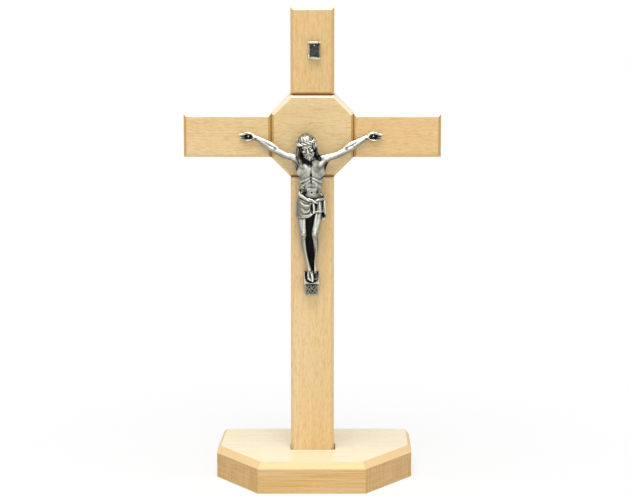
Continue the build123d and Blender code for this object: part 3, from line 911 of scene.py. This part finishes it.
# Hair: strands from the crown to the wreath, then long waves and two locks down to the shoulders
crown_strands, wave_strands, lock_strands = 20, 15, 6
polar = np.linspace(0.55, 1.4, 6)
for strand in range(crown_strands):
    swirl = 2 * np.pi * (strand + 0.5) / crown_strands + 0.3 * np.sin(2.5 * polar + strand)
    crown_rows = np.column_stack([
        4.7 * np.sin(polar) * np.sin(swirl),
        0.8 + 4.8 * np.cos(polar),
        -0.6 + 4.8 * np.sin(polar) * np.cos(swirl),
        np.full(len(polar), 0.55),
    ])
    figure.limb(on_head(crown_rows), 0.4, steps=3)
head_ball((0, -2.6, -1.8), (4.7, 5.8, 3.6), 0.5)
for side in sides:
    head_ball((side * 4.1, -2.6, 0.0), (1.0, 4.6, 2.6), 0.4)
fall = np.linspace(0, 1, 8)
for strand in range(wave_strands):
    turn = math.radians(72 + 216 * strand / (wave_strands - 1))
    wave = 0.45 * np.sin(11 * fall + 2.1 * strand)
    wave_rows = np.column_stack([
        (5.2 - 0.5 * fall) * np.sin(turn) + wave * np.cos(turn),
        1.8 - 9.2 * fall,
        -0.8 + (4.6 - 1.6 * fall) * np.cos(turn) - wave * np.sin(turn),
        0.7 - 0.2 * fall,
    ])
    figure.limb(on_head(wave_rows), 0.15, steps=3)
left_lock = [
    (-7.4, -3.0, 8.8, 0.7),
    (-7.7, -6.4, 9.0, 0.9),
    (-7.9, -9.8, 9.0, 1.0),
    (-7.3, -13.0, 9.0, 1.0),
    (-6.3, -15.8, 9.3, 0.9),
    (-5.4, -18.3, 9.8, 0.4),
]
right_lock = [
    (2.1, -1.8, 8.8, 0.7),
    (2.7, -5.0, 8.8, 0.8),
    (3.3, -8.4, 8.2, 0.85),
    (4.1, -11.2, 7.8, 0.8),
    (5.5, -13.4, 7.8, 0.4),
]
for lock in (left_lock, right_lock):
    figure.limb(lock, 0.3)
    lock_path = smooth_path(lock, 6)
    lock_across, lock_up, lock_out, lock_radius = lock_path.T
    walked = np.linspace(0, 1, len(lock_path))
    for strand in range(lock_strands):
        beside = 0.4 * (strand - 2.5) + 0.22 * np.sin(16 * walked + 1.9 * strand)
        proud = 0.9 * np.sqrt(np.maximum(1.3 - beside**2, 0.1))
        lock_rows = np.column_stack([
            lock_across + beside * lock_radius,
            lock_up,
            lock_out + proud * lock_radius,
            0.2 * lock_radius + 0.08,
        ])
        figure.limb(lock_rows, 0.1, steps=1)

# Wreath: two thick stems twisted round the brow, with short thorns that point up and down by turns
wreath_stems, wreath_turns, wreath_thorns = 2, 6.5, 15
wreath_half, wreath_depth, wreath_forward = 5.45, 5.5, -0.45


def twisted(rows, turns, strands, offset, radius):
    """Strands wound round a path: each runs at an offset that turns about the path as it goes along."""
    path = smooth_path(rows, 10)
    along = np.gradient(path[:, :3], axis=0)
    along = along / np.linalg.norm(along, axis=1)[:, None]
    side = np.cross(along, [0.0, 0.0, 1.0])
    side = side / np.linalg.norm(side, axis=1)[:, None]
    rise = np.cross(along, side)
    walked = np.linspace(0, 2 * np.pi * turns, len(path))
    for strand in range(strands):
        angle = (walked + 2 * np.pi * strand / strands)[:, None]
        reach = (path[:, 3] * offset)[:, None]
        wound = path[:, :3] + reach * (np.cos(angle) * side + np.sin(angle) * rise)
        yield np.column_stack([wound, radius * path[:, 3]])


def wreath_level(turn):
    """Height of the wreath on the head, which dips twice on the way round."""
    return 1.75 + 0.5 * np.cos(2 * turn)


ring_turn = np.linspace(0, 2 * np.pi, 37)
ring = np.column_stack([
    wreath_half * np.sin(ring_turn),
    wreath_level(ring_turn),
    wreath_forward + wreath_depth * np.cos(ring_turn),
    0.62 + 0.1 * np.sin(5 * ring_turn),
])
for stem in twisted(on_head(ring), wreath_turns, wreath_stems, 1.0, 0.8):
    figure.limb(stem, 0.12, steps=1)
for thorn in range(wreath_thorns):
    turn = 2 * np.pi * (thorn + 0.35) / wreath_thorns
    level = wreath_level(turn)
    tip_level = level + 1.1 * (-1) ** thorn
    thorn_rows = [
        (5.7 * math.sin(turn), level, wreath_forward + 5.8 * math.cos(turn), 0.38),
        (6.3 * math.sin(turn), tip_level, wreath_forward + 6.4 * math.cos(turn), 0.16),
    ]
    figure.limb(on_head(thorn_rows), 0.15, steps=2)

# The back is flat where it meets the wood
figure.field[:, :, 0] = np.maximum(figure.field[:, :, 0], grid_step / 2)
cube_corners = np.array([(i, j, k) for i in (0, 1) for j in (0, 1) for k in (0, 1)])


def skin(casting):
    """Surface of a casting by surface nets.

    Each grid cell that the surface passes through holds a corner, in the middle of the surface's crossings
    with the cell's edges, and a four-sided face lies round each grid edge that the surface crosses."""
    inside = casting.field < 0
    cell_shape = tuple(n - 1 for n in inside.shape)
    count = np.zeros(cell_shape, np.int8)
    for corner in cube_corners:
        count += inside[tuple(slice(c, c + n) for c, n in zip(corner, cell_shape))]
    cells = np.argwhere((count > 0) & (count < 8))
    number = np.full(cell_shape, -1, np.int32)
    number[tuple(cells.T)] = np.arange(len(cells))
    values = np.stack([casting.field[tuple((cells + corner).T)] for corner in cube_corners], axis=1)
    total = np.zeros((len(cells), 3))
    crossings = np.zeros((len(cells), 1))
    for first in range(8):
        for second in range(first + 1, 8):
            edge = cube_corners[second] - cube_corners[first]
            if np.abs(edge).sum() != 1:
                continue
            a, b = values[:, first], values[:, second]
            crossed = (a < 0) != (b < 0)
            share = np.where(crossed, a / np.where(crossed, a - b, 1), 0)[:, None]
            total += crossed[:, None] * (cube_corners[first] + share * edge)
            crossings += crossed[:, None]
    points = casting.low + grid_step * (cells + total / crossings)
    faces = []
    for axis in range(3):
        lower = [slice(1, -1)] * 3
        upper = [slice(1, -1)] * 3
        lower[axis] = slice(0, -1)
        upper[axis] = slice(1, None)
        low_inside = inside[tuple(lower)]
        edges = np.argwhere(low_inside != inside[tuple(upper)])
        outward = low_inside[tuple(edges.T)]
        start = edges + 1
        start[:, axis] -= 1
        one, two = np.eye(3, dtype=int)[(axis + 1) % 3], np.eye(3, dtype=int)[(axis + 2) % 3]
        around = (one + two, two, np.zeros(3, int), one)
        cells_round = np.stack([number[tuple((start - step).T)] for step in around], axis=1)
        faces.append(np.where(outward[:, None], cells_round, cells_round[:, ::-1]))
    return points, np.concatenate(faces)


def blurred(solid, radius):
    """Share of solid in a cube of the given radius in grid steps about each point, taken twice over."""
    window = 2 * radius + 1
    for axis in (0, 1, 2, 0, 1, 2):
        count = solid.shape[axis]
        padding = [(radius + 1, radius) if i == axis else (0, 0) for i in range(3)]
        summed = np.cumsum(np.pad(solid, padding, "edge"), axis)
        far_end = np.take(summed, np.arange(window, window + count), axis)
        near_end = np.take(summed, np.arange(count), axis)
        solid = ((far_end - near_end) / window).astype(np.float32)
    return solid


def sampled(casting, grid, points):
    """Values of a grid at points between its own, by the eight nearest of them."""
    place = np.clip((points - casting.low) / grid_step, 0, np.array(grid.shape) - 1.001)
    cell = np.floor(place).astype(int)
    share = place - cell
    value = np.zeros(len(points))
    for corner in cube_corners:
        weight = np.prod(np.where(corner == 1, share, 1 - share), axis=1)
        value += weight * grid[tuple((cell + corner).T)]
    return value


def smooth_object(name, points, faces, material):
    """Object with a smooth mesh, at the frame's origin."""
    mesh = bpy.data.meshes.new(name)
    mesh.from_pydata(points, [], faces)
    mesh.polygons.foreach_set("use_smooth", np.ones(len(mesh.polygons), bool))
    mesh.materials.append(material)
    piece = bpy.data.objects.new(name, mesh)
    bpy.context.scene.collection.objects.link(piece)
    return piece


def hang_casting(piece, node_name, wear_and_painted_light):
    """Put a silver casting on the cross in place of a node of the frame, with the rubbing, patina and painted
    light of its points.
    """
    piece.data.attributes.new("wear_and_painted_light", "FLOAT", "POINT").data.foreach_set("value", wear_and_painted_light)
    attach(piece, "cross")
    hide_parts(node_name)


def antique_silver(name):
    """Blackened silver: the number kept on the mesh runs from black recesses to rubbed bright ridges, and
    holds painted light and shade too.
    """
    finish = Finish(bpy.data.materials.new(name))
    wear_and_light_level = finish.add("ShaderNodeAttribute", {"attribute_name": "wear_and_painted_light"}, output="Fac")
    cloud = finish.noise(finish.stretched((700.0, 700.0, 700.0)), 3.0)
    grit = finish.noise(finish.stretched((3800.0, 3800.0, 3800.0)), 2.0)
    wear_and_light_level = wear_and_light_level + 0.22 * (cloud - 0.5) + 0.1 * (grit - 0.5)
    metal = finish.mix(finish.rise(wear_and_light_level, 0.1, 0.5), colour(10, 10, 9), colour(140, 139, 128))
    metal = finish.mix(finish.rise(wear_and_light_level, 0.45, 0.9), metal, colour(238, 237, 226))
    return finish.close({
        "Base Color": metal,
        "Metallic": finish.rise(wear_and_light_level, 0.05, 0.35),
        "Roughness": 0.5 - 0.24 * finish.rise(wear_and_light_level, 0.15, 0.85) + 0.12 * (grit - 0.5),
        "Specular IOR Level": 0.12,
        "Normal": finish.bump(cloud + 0.5 * grit, 0.00004),
    })


figure_origin = np.array([
    (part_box("left_hand_nail")[0].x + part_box("right_hand_nail")[1].x) / 2,
    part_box("lower_beam")[0].y,
    (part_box("right_arm")[0].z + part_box("right_arm")[1].z) / 2,
])


def in_frame(points):
    """Points of the figure in the frame of the object, in metres."""
    return figure_origin + millimetre * points[:, [0, 2, 1]] * (1, -1, 1)


most_triangles = 190000
silver = antique_silver("antique_silver")
figure_points, figure_faces = skin(figure)
rough = smooth_object("rough_casting", in_frame(figure_points), figure_faces, silver)
thinning = rough.modifiers.new("thinning", "DECIMATE")
thinning.ratio = min(1.0, most_triangles / (2 * len(figure_faces)))
thinned = bpy.data.meshes.new_from_object(rough.evaluated_get(bpy.context.evaluated_depsgraph_get()))
bpy.data.objects.remove(rough)
thinned.name = "cast_figure"
cast_figure = bpy.data.objects.new("cast_figure", thinned)
bpy.context.scene.collection.objects.link(cast_figure)

# Places of the thinned surface, again in millimetres across, up and out
corner_places = np.zeros(3 * len(thinned.vertices))
thinned.vertices.foreach_get("co", corner_places)
places = ((corner_places.reshape(-1, 3) - figure_origin) / millimetre * (1, -1, 1))[:, [0, 2, 1]]
place_across, place_up, place_out = places.T
from_middle = np.abs(place_across)
slope_step = 0.3


def slope_along(axis):
    """How far the surface faces along an axis: the slope of the field there."""
    step = slope_step * np.eye(3)[axis]
    ahead = sampled(figure, figure.field, places + step)
    return (ahead - sampled(figure, figure.field, places - step)) / (2 * slope_step)


def ramp(values, start, end):
    """Share of the way from start to end, kept between zero and one."""
    return np.clip((values - start) / (end - start), 0, 1)


def darkening_about(rows, radius, strength):
    """Darkening about a path through rows of across, up and out: full near it and gone at the radius."""
    path = smooth_path(rows, 4)[:, :3] if len(rows) > 1 else rows
    apart = np.min([np.linalg.norm(places - point, axis=1) for point in path], axis=0)
    return strength * np.minimum(1.6 * np.clip(1 - (apart / radius) ** 2, 0, 1), 1)


# Wear and painted light: bright where little metal lies round a place, black where much metal does; brighter
# where it faces out or up, which is painted light from the front and from above, with some rubbing of the
# foremost faces
solid_metal = np.clip(0.5 - figure.field / grid_step, 0, 1)
close_by = 0.5 - sampled(figure, blurred(solid_metal, 2), places)
further = 0.5 - sampled(figure, blurred(solid_metal, 7), places)
facing_up, facing_out = slope_along(1), slope_along(2)
wear_and_painted_light = 0.48 + np.where(close_by > 0, 1.1, 1.7) * close_by + np.where(further > 0, 0.5, 2.0) * further
# Brighter where it faces out or up, darker on the sides: painted light from the front and from above, with
# some rubbing of the foremost faces
wear_and_painted_light += 0.34 * np.clip(facing_out - 0.6, -0.8, 0.4) + 0.12 * facing_up

# Blackening that was left on, and painted shade under the beard and the right lock, down the right flank, in
# the armpits and at the wrists, as a path through places, its radius and its strength
stains_and_painted_shade = [
    # Painted shade under the beard, on the upper chest
    ([(-2.0, -14.8, 8.2)], 3.0, 0.5),
    ([(-0.6, -16.8, 9.0)], 2.2, 0.3),
    # Painted shade under the right lock
    ([(3.6, -11.6, 7.0)], 2.6, 0.5),
    ([(2.2, -15.8, 9.0), (3.8, -19.2, 9.6)], 3.0, 0.2),
    ([(-6.8, -11.4, 7.6)], 3.4, 0.4),
    ([(-7.6, -5.0, 9.4), (-7.4, -8.6, 9.6), (-6.4, -14.4, 9.8)], 3.0, 0.34),
    ([(-4.9, -18.2, 9.9)], 1.7, 0.14),
    ([(5.4, -17.4, 9.8), (8.0, -14.6, 8.6)], 2.4, 0.12),
    ([(3.4, -8.2, 8.8)], 3.0, 0.45),
    # Painted shade under the right lock
    ([(4.8, -12.4, 8.2)], 2.2, 0.35),
    ([(-6.6, -5.6, 7.6)], 2.4, 0.35),
    ([(2.2, -5.0, 7.4)], 2.4, 0.35),
    ([(8.4, -48.4, 7.0)], 2.2, 0.6),
    ([(1.1, -48.6, 8.0)], 2.0, 0.5),
    ([(0.5, -44.0, 10.2)], 1.3, 0.4),
    # Painted shadow down the right flank
    ([(10.0, -14.4, 4.8), (8.9, -18.5, 4.8), (8.2, -22.5, 4.8), (7.2, -27.0, 4.8)], 1.9, 0.5),
    ([(-6.2, -33.0, 5.6)], 1.5, 0.45),
    ([(-5.7, -34.3, 8.0)], 1.3, 0.25),
    ([(6.4, -35.8, 7.9)], 1.4, 0.25),
    ([(2.9, -87.0, 5.6)], 2.2, 0.3),
    (breast_furrow, 0.6, 0.2),
    (belly_furrow, 0.5, 0.2),
    ([(0.5, -34.2, 9.2)], 0.7, 0.3),
]
belly_pits = [(-3.2, -29.2, 8.9), (3.6, -28.7, 8.8), (3.3, -30.7, 8.6), (-3.0, -31.8, 8.6)]
stains_and_painted_shade += [([pit], 0.8, 0.1) for pit in belly_pits]
stains_and_painted_shade += [([(across, up, 9.5)], height, 0.12) for across, up, _, height in breast_pits]
hand_rim = [(36.6, -2.3, 1.8), (38.4, -2.9, 1.8), (40.6, -2.8, 1.8)]
forearm_dip = [(26.5, -5.4, 5.2), (33.5, -1.6, 3.4)]
elbow, wrist, armpit = (22.0, -7.2, 5.6), (34.0, -1.3, 2.9), (9.6, -20.0, 4.0)
belly_side = [(3.9, -32.6, 8.4), (3.9, -34.8, 8.4)]
for side in sides:
    stains_and_painted_shade += [
        (mirrored(hand_rim, side), 1.5, 0.32),
        ([opposite(elbow, side)], 1.3, 0.32),
        # Painted shade at the wrist
        ([opposite(wrist, side)], 1.0, 0.25),
        # Painted shade in the armpit
        ([opposite(armpit, side)], 3.0, 0.3),
        (mirrored(forearm_dip, side), 1.4, 0.1),
        (mirrored(under_breast, side), 0.7, 0.28),
        (mirrored(under_rib, side), 0.6, 0.1),
        (mirrored(belly_side, side, hollow_middle), 1.3, 0.06),
    ]
for toe in range(4):
    toe_gap = [(-0.9 + 0.1 * toe, -84.6, 7.2), (-0.95 + 0.42 * toe, -87.6 - 0.4 * toe, 7.3)]
    stains_and_painted_shade.append((toe_gap, 0.45, 0.4))
knee_spots = [(-1.2, 1.4, 0.12), (0.9, 0.3, 0.15), (-0.3, -1.8, 0.14), (1.1, -2.8, 0.12)]
for knee_across, knee_up, knee_out in knees:
    for beside, above, strength in knee_spots:
        stains_and_painted_shade.append(([(knee_across + beside, knee_up + above, knee_out + 0.3)], 1.1, strength))
stains_and_painted_shade.append(([(-1.0, -64.0, 7.0), (-0.4, -69.0, 6.5), (0.4, -75.5, 5.6)], 0.7, -0.45))
for darkened_rows, radius, strength in stains_and_painted_shade:
    wear_and_painted_light -= darkening_about(darkened_rows, radius, strength)

# Arms brighter above than below, which is painted light from above, and a little brighter overall; palms
# blackened, and fingers darker, the more so lower down
# Painted light: arms brighter where they face up, and a little brighter overall
wear_and_painted_light += (0.18 * facing_up + 0.06) * ramp(from_middle, 9, 12)
wear_and_painted_light -= 0.75 * ramp(place_out, 2.35, 1.85) * ramp(facing_out, 0.1333, 0.8) * (from_middle > 36.4)
on_finger = ramp(from_middle, 39.2, 40.0) * (place_up > -2.2)
wear_and_painted_light -= 0.62 * on_finger * np.clip(1.6 - place_up, 0.3, 1)

# Cloth, footrest, crown and legs a little duller than the trunk
wear_and_painted_light -= 0.07 * (np.abs(place_up + 42) < 8.5) * (place_out > 7)
wear_and_painted_light -= 0.26 * (place_up < -84) * (place_out < 6.2)
wear_and_painted_light -= 0.08 * ramp(place_up, -2.5, 0.0) * (from_middle < 10)
wear_and_painted_light -= 0.05 * ramp(place_up, -48, -51) * (place_up > -82)

# Black between the legs, over the web, and painted shade on the inner sides of the legs except at the knees
left_path, right_path = (smooth_path(leg, 6)[::-1] for leg in (left_leg, right_leg))
left_axis, right_axis = (np.interp(place_up, path[:, 1], path[:, 0]) for path in (left_path, right_path))
behind = np.interp(place_up, left_path[:, 1], left_path[:, 2]) - place_out
between = (place_across > left_axis) & (place_across < right_axis) & (np.abs(place_up + 64.5) < 19.5)
wear_and_painted_light -= 0.68 * between * ramp(behind, -0.625, 0.625)
# Painted shade on the inner sides of the legs, behind their fronts, except at the knees
off_knee = ramp(np.abs(place_up + 59.5), 1.05, 4.55)
for path, axis, inward in ((left_path, left_axis, 1), (right_path, right_axis, -1)):
    share = inward * (place_across - axis) / np.interp(place_up, path[:, 1], path[:, 3])
    wear_and_painted_light -= 0.45 * between * ramp(share, 0.3, 1.0) * ramp(behind, -1.875, -0.625) * off_knee

# Black in the recess round the feet and in the line under the plate
tray_rim, line_half = 1.0164, 3.4
on_plate = (tray_share(place_across, place_up) < tray_rim) & (place_up > plate_low)
wear_and_painted_light -= 0.8 * on_plate * (place_out < plate_front(place_up) - tray_depth / 2)
wear_and_painted_light -= 0.5 * (np.abs(place_up + 92.8) < 0.4) * (np.abs(place_across - footrest_across) < line_half)
hang_casting(cast_figure, "corpus", np.clip(wear_and_painted_light, 0.08, 1))

# Scroll
# A small cast plate with a curled roll along its upper and its lower edge, nailed to the upper arm.
# Its face is bare and blackened, and its rolls and rims are rubbed bright; the lower roll is set brighter
# still as painted light.
scroll_low, scroll_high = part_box("titulus_scroll")
scroll_middle = np.array([
    (scroll_low.x + scroll_high.x) / 2,
    scroll_high.y,
    (scroll_low.z + scroll_high.z) / 2,
])
scroll_half_width, scroll_half_height, scroll_waist = 3.9, 5.8, 0.1
upper_slant, lower_slant, roll_growth = 0.15, -0.42, 0.2
roll_radius, roll_turns, roll_tightness = 1.15, 1.35, 0.45
sheet_out, sheet_half_thickness, curl_thinning = 0.72, 0.38, 0.35
spiral_steps, face_steps, width_steps = 40, 24, 61
face_wear, left_rim_wear, right_rim_wear = 0.22, 0.62, 0.42
# The lower roll is set brighter than the upper one: painted light against its facing down
upper_roll_wear, lower_roll_wear_and_painted_light = 0.56, 0.74


def scroll_mesh():
    """Sheet swept across the scroll: its section runs down a spiral, a flat face and another spiral.

    Each spiral starts inside its roll and widens to meet the face; the two sides of the section lie half a
    thickness to either side of it. The sheet is a little waisted, its edges slant, and its rolls stand
    further out to the right. Wear is high on the rolls and the rims, low on the face and in a crescent
    on each roll; the lower roll, which faces down, is set brighter than the upper one as painted light."""
    turn = np.linspace(0, 1, spiral_steps)
    radius = roll_radius * (roll_tightness + (1 - roll_tightness) * turn)
    angle = np.pi * (2 * roll_turns * (turn - 1) + 1)
    curl_out, curl_up = radius * np.cos(angle), radius * np.sin(angle)
    roll_up = scroll_half_height - roll_radius
    roll_out = sheet_out + roll_radius
    face_up = np.linspace(1, -1, face_steps)[1:-1] * roll_up
    face_out = np.full(face_steps - 2, sheet_out)
    out = np.concatenate([roll_out + curl_out, face_out, (roll_out + curl_out)[::-1]])
    up = np.concatenate([roll_up - curl_up, face_up, -roll_up + curl_up[::-1]])
    slope_out, slope_up = np.gradient(out), np.gradient(up)
    slope = np.hypot(slope_out, slope_up)
    side_out, side_up = -slope_up / slope, slope_out / slope
    thinned_curl = sheet_half_thickness * (curl_thinning + (1 - curl_thinning) * turn)
    face_thick = np.full(face_steps - 2, sheet_half_thickness)
    thick = np.concatenate([thinned_curl, face_thick, thinned_curl[::-1]])
    ring_out = np.concatenate([out + thick * side_out, (out - thick * side_out)[::-1]])
    ring_up = np.concatenate([up + thick * side_up, (up - thick * side_up)[::-1]])
    across = np.linspace(-1, 1, width_steps)[:, None]
    x = scroll_half_width * across * (1 - scroll_waist * (1 - (ring_up / scroll_half_height) ** 2))
    y = ring_out * np.where(ring_out > sheet_out + sheet_half_thickness, 1 + roll_growth * across, 1)
    z = ring_up + across * np.where(ring_up > 0, upper_slant, lower_slant)
    points = np.stack([x, y, z], axis=2).reshape(-1, 3)
    count = len(ring_out)
    number = np.arange(width_steps * count).reshape(width_steps, count)
    after = np.roll(number, -1, axis=1)
    walls = np.stack([number[:-1], number[1:], after[1:], after[:-1]], axis=2).reshape(-1, 4)
    first = np.arange(count // 2 - 1)
    cap = np.stack([first, first + 1, count - 2 - first, count - 1 - first], axis=1)
    faces = np.concatenate([walls, cap, cap[:, ::-1] + number[-1, 0]])
    on_roll = (np.abs(ring_up) - roll_up) / roll_radius
    flat_wear = np.select([across < -0.84, across > 0.86], [left_rim_wear, right_rim_wear], face_wear)
    wear_and_painted_light = np.where(on_roll > -0.45, np.where(ring_up > 0, upper_roll_wear, lower_roll_wear_and_painted_light), flat_wear)
    crescent = np.abs(across * np.sign(ring_up) - 0.66 - 0.16 * on_roll**2) < 0.06
    wear_and_painted_light = wear_and_painted_light - 0.4 * crescent * (on_roll > -0.8)
    return points, faces, wear_and_painted_light.ravel()


scroll_points, scroll_faces, scroll_wear_and_painted_light = scroll_mesh()
scroll_points = scroll_middle + millimetre * scroll_points * (1, -1, 1)
scroll = smooth_object("curled_scroll", scroll_points, scroll_faces, silver)
hang_casting(scroll, "titulus_scroll", scroll_wear_and_painted_light)

# Nails
# Round steel nails with small domed heads, blackened and rubbed bright on their crowns.
# They are driven into the wood, one through each palm, one through the feet and one through the scroll.
crown_inner, crown_outer = 0.0002, 0.0006


def nail_steel(node_name):
    """Blackened steel, rubbed bright on the crown of the head about the nail's axis."""
    finish = Finish(bpy.data.materials.new(node_name + "_steel"))
    low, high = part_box(node_name)
    place = finish.add("ShaderNodeTexCoord", output="Object")
    offset = finish.add("ShaderNodeVectorMath", {"operation": "SUBTRACT"}, {0: place, 1: (low + high) / 2})
    beside = finish.add("ShaderNodeVectorMath", {"operation": "MULTIPLY"}, {0: offset, 1: (1.0, 0.0, 1.0)})
    from_axis = finish.add("ShaderNodeVectorMath", {"operation": "LENGTH"}, {0: beside}, "Value")
    cloud = finish.noise(finish.stretched((1500.0, 1500.0, 1500.0)), 3.0)
    crown = 1 - finish.rise(from_axis + 0.0003 * (cloud - 0.5), crown_inner, crown_outer)
    metal = finish.mix(crown, colour(58, 58, 55), colour(224, 224, 218))
    return finish.close({
        "Base Color": metal,
        "Metallic": 1.0,
        "Roughness": 0.3 + 0.2 * cloud,
        "Normal": finish.bump(cloud, 0.00002),
    })


for nail_name in ("left_hand_nail", "right_hand_nail", "foot_nail", "titulus_nail"):
    dress(nail_name, nail_steel(nail_name))

# Floor, light and camera
# A plain white floor under a white sky, with a wide soft lamp above the cross and a weaker one before it.
# The camera looks a little down on the cross from well before it.
white = colour(255, 255, 255)
shadow_near, shadow_far = 0.08, 0.3


def seen_directly(finish):
    """One where a surface is seen, also in a mirror or through glass, and zero where it lights others."""
    kinds = ("Is Camera Ray", "Is Glossy Ray", "Is Transmission Ray")
    return sum(finish.add("ShaderNodeLightPath", output=kind) for kind in kinds)


def stage_finish(name):
    """White floor that looks white and still takes a soft shadow close to the object."""
    finish = Finish(bpy.data.materials.new(name))
    place = finish.add("ShaderNodeTexCoord", output="Object")
    away = finish.add("ShaderNodeVectorMath", {"operation": "LENGTH"}, {0: place}, "Value")
    plain = 0.72 + 0.28 * finish.rise(away, shadow_near, shadow_far)
    matt = finish.add("ShaderNodeBsdfDiffuse", None, {"Color": colour(250, 250, 250)})
    glow = finish.add("ShaderNodeEmission", None, {"Color": white, "Strength": 1.0})
    mixed = finish.add("ShaderNodeMixShader", None, {0: plain * seen_directly(finish), 1: matt, 2: glow})
    finish.add("ShaderNodeOutputMaterial", None, {"Surface": mixed})
    return finish.owner


floor_half = 6.0
floor_mesh = bpy.data.meshes.new("floor")
floor_corners = [(x * floor_half, y * floor_half, 0) for x, y in ((-1, -1), (1, -1), (1, 1), (-1, 1))]
floor_mesh.from_pydata(floor_corners, [], [(0, 1, 2, 3)])
floor_mesh.materials.append(stage_finish("white_floor"))
floor = bpy.data.objects.new("floor", floor_mesh)
bpy.context.scene.collection.objects.link(floor)

sky_strength = 0.4
sky = Finish(bpy.data.worlds.new("studio"))
sky_lit = sky.add("ShaderNodeBackground", None, {"Color": white, "Strength": sky_strength})
sky_seen = sky.add("ShaderNodeBackground", None, {"Color": white, "Strength": 1.0})
sky_mixed = sky.add("ShaderNodeMixShader", None, {0: seen_directly(sky), 1: sky_lit, 2: sky_seen})
sky.add("ShaderNodeOutputWorld", None, {"Surface": sky_mixed})
bpy.context.scene.world = sky.owner


def soft_light(name, place, aim, size, power):
    """Square soft light at a place, turned to an aim."""
    lamp = bpy.data.lights.new(name, "AREA")
    lamp.size = size
    lamp.energy = power
    light = bpy.data.objects.new(name, lamp)
    light.location = place
    toward = np.array(aim) - np.array(place)
    light.rotation_euler = (
        math.atan2(math.hypot(toward[0], toward[1]), -toward[2]),
        0,
        math.atan2(-toward[0], toward[1]),
    )
    bpy.context.scene.collection.objects.link(light)


light_aim = (0.0, 0.0, 0.16)
soft_light("top_light", place=(-0.05, -0.3, 1.15), aim=light_aim, size=0.7, power=9.5)
soft_light("front_light", place=(0.3, -1.6, 0.7), aim=light_aim, size=1.0, power=5.0)

# Camera: focal_pixels is its focal length, in pixels of a picture that is picture_pixels wide
picture_pixels, focal_pixels = 630, 2500
camera_pitch, camera_yaw = 0.19392, 0.00053
camera_data = bpy.data.cameras.new("camera")
camera_data.sensor_width = 36
camera_data.lens = camera_data.sensor_width * focal_pixels / picture_pixels
camera = bpy.data.objects.new("camera", camera_data)
camera.location = (0.00245, -1.53841, 0.44833)
camera.rotation_euler = (math.pi / 2 - camera_pitch, 0, camera_yaw)
bpy.context.scene.collection.objects.link(camera)
bpy.context.scene.camera = camera
bpy.context.scene.view_settings.view_transform = "Standard"
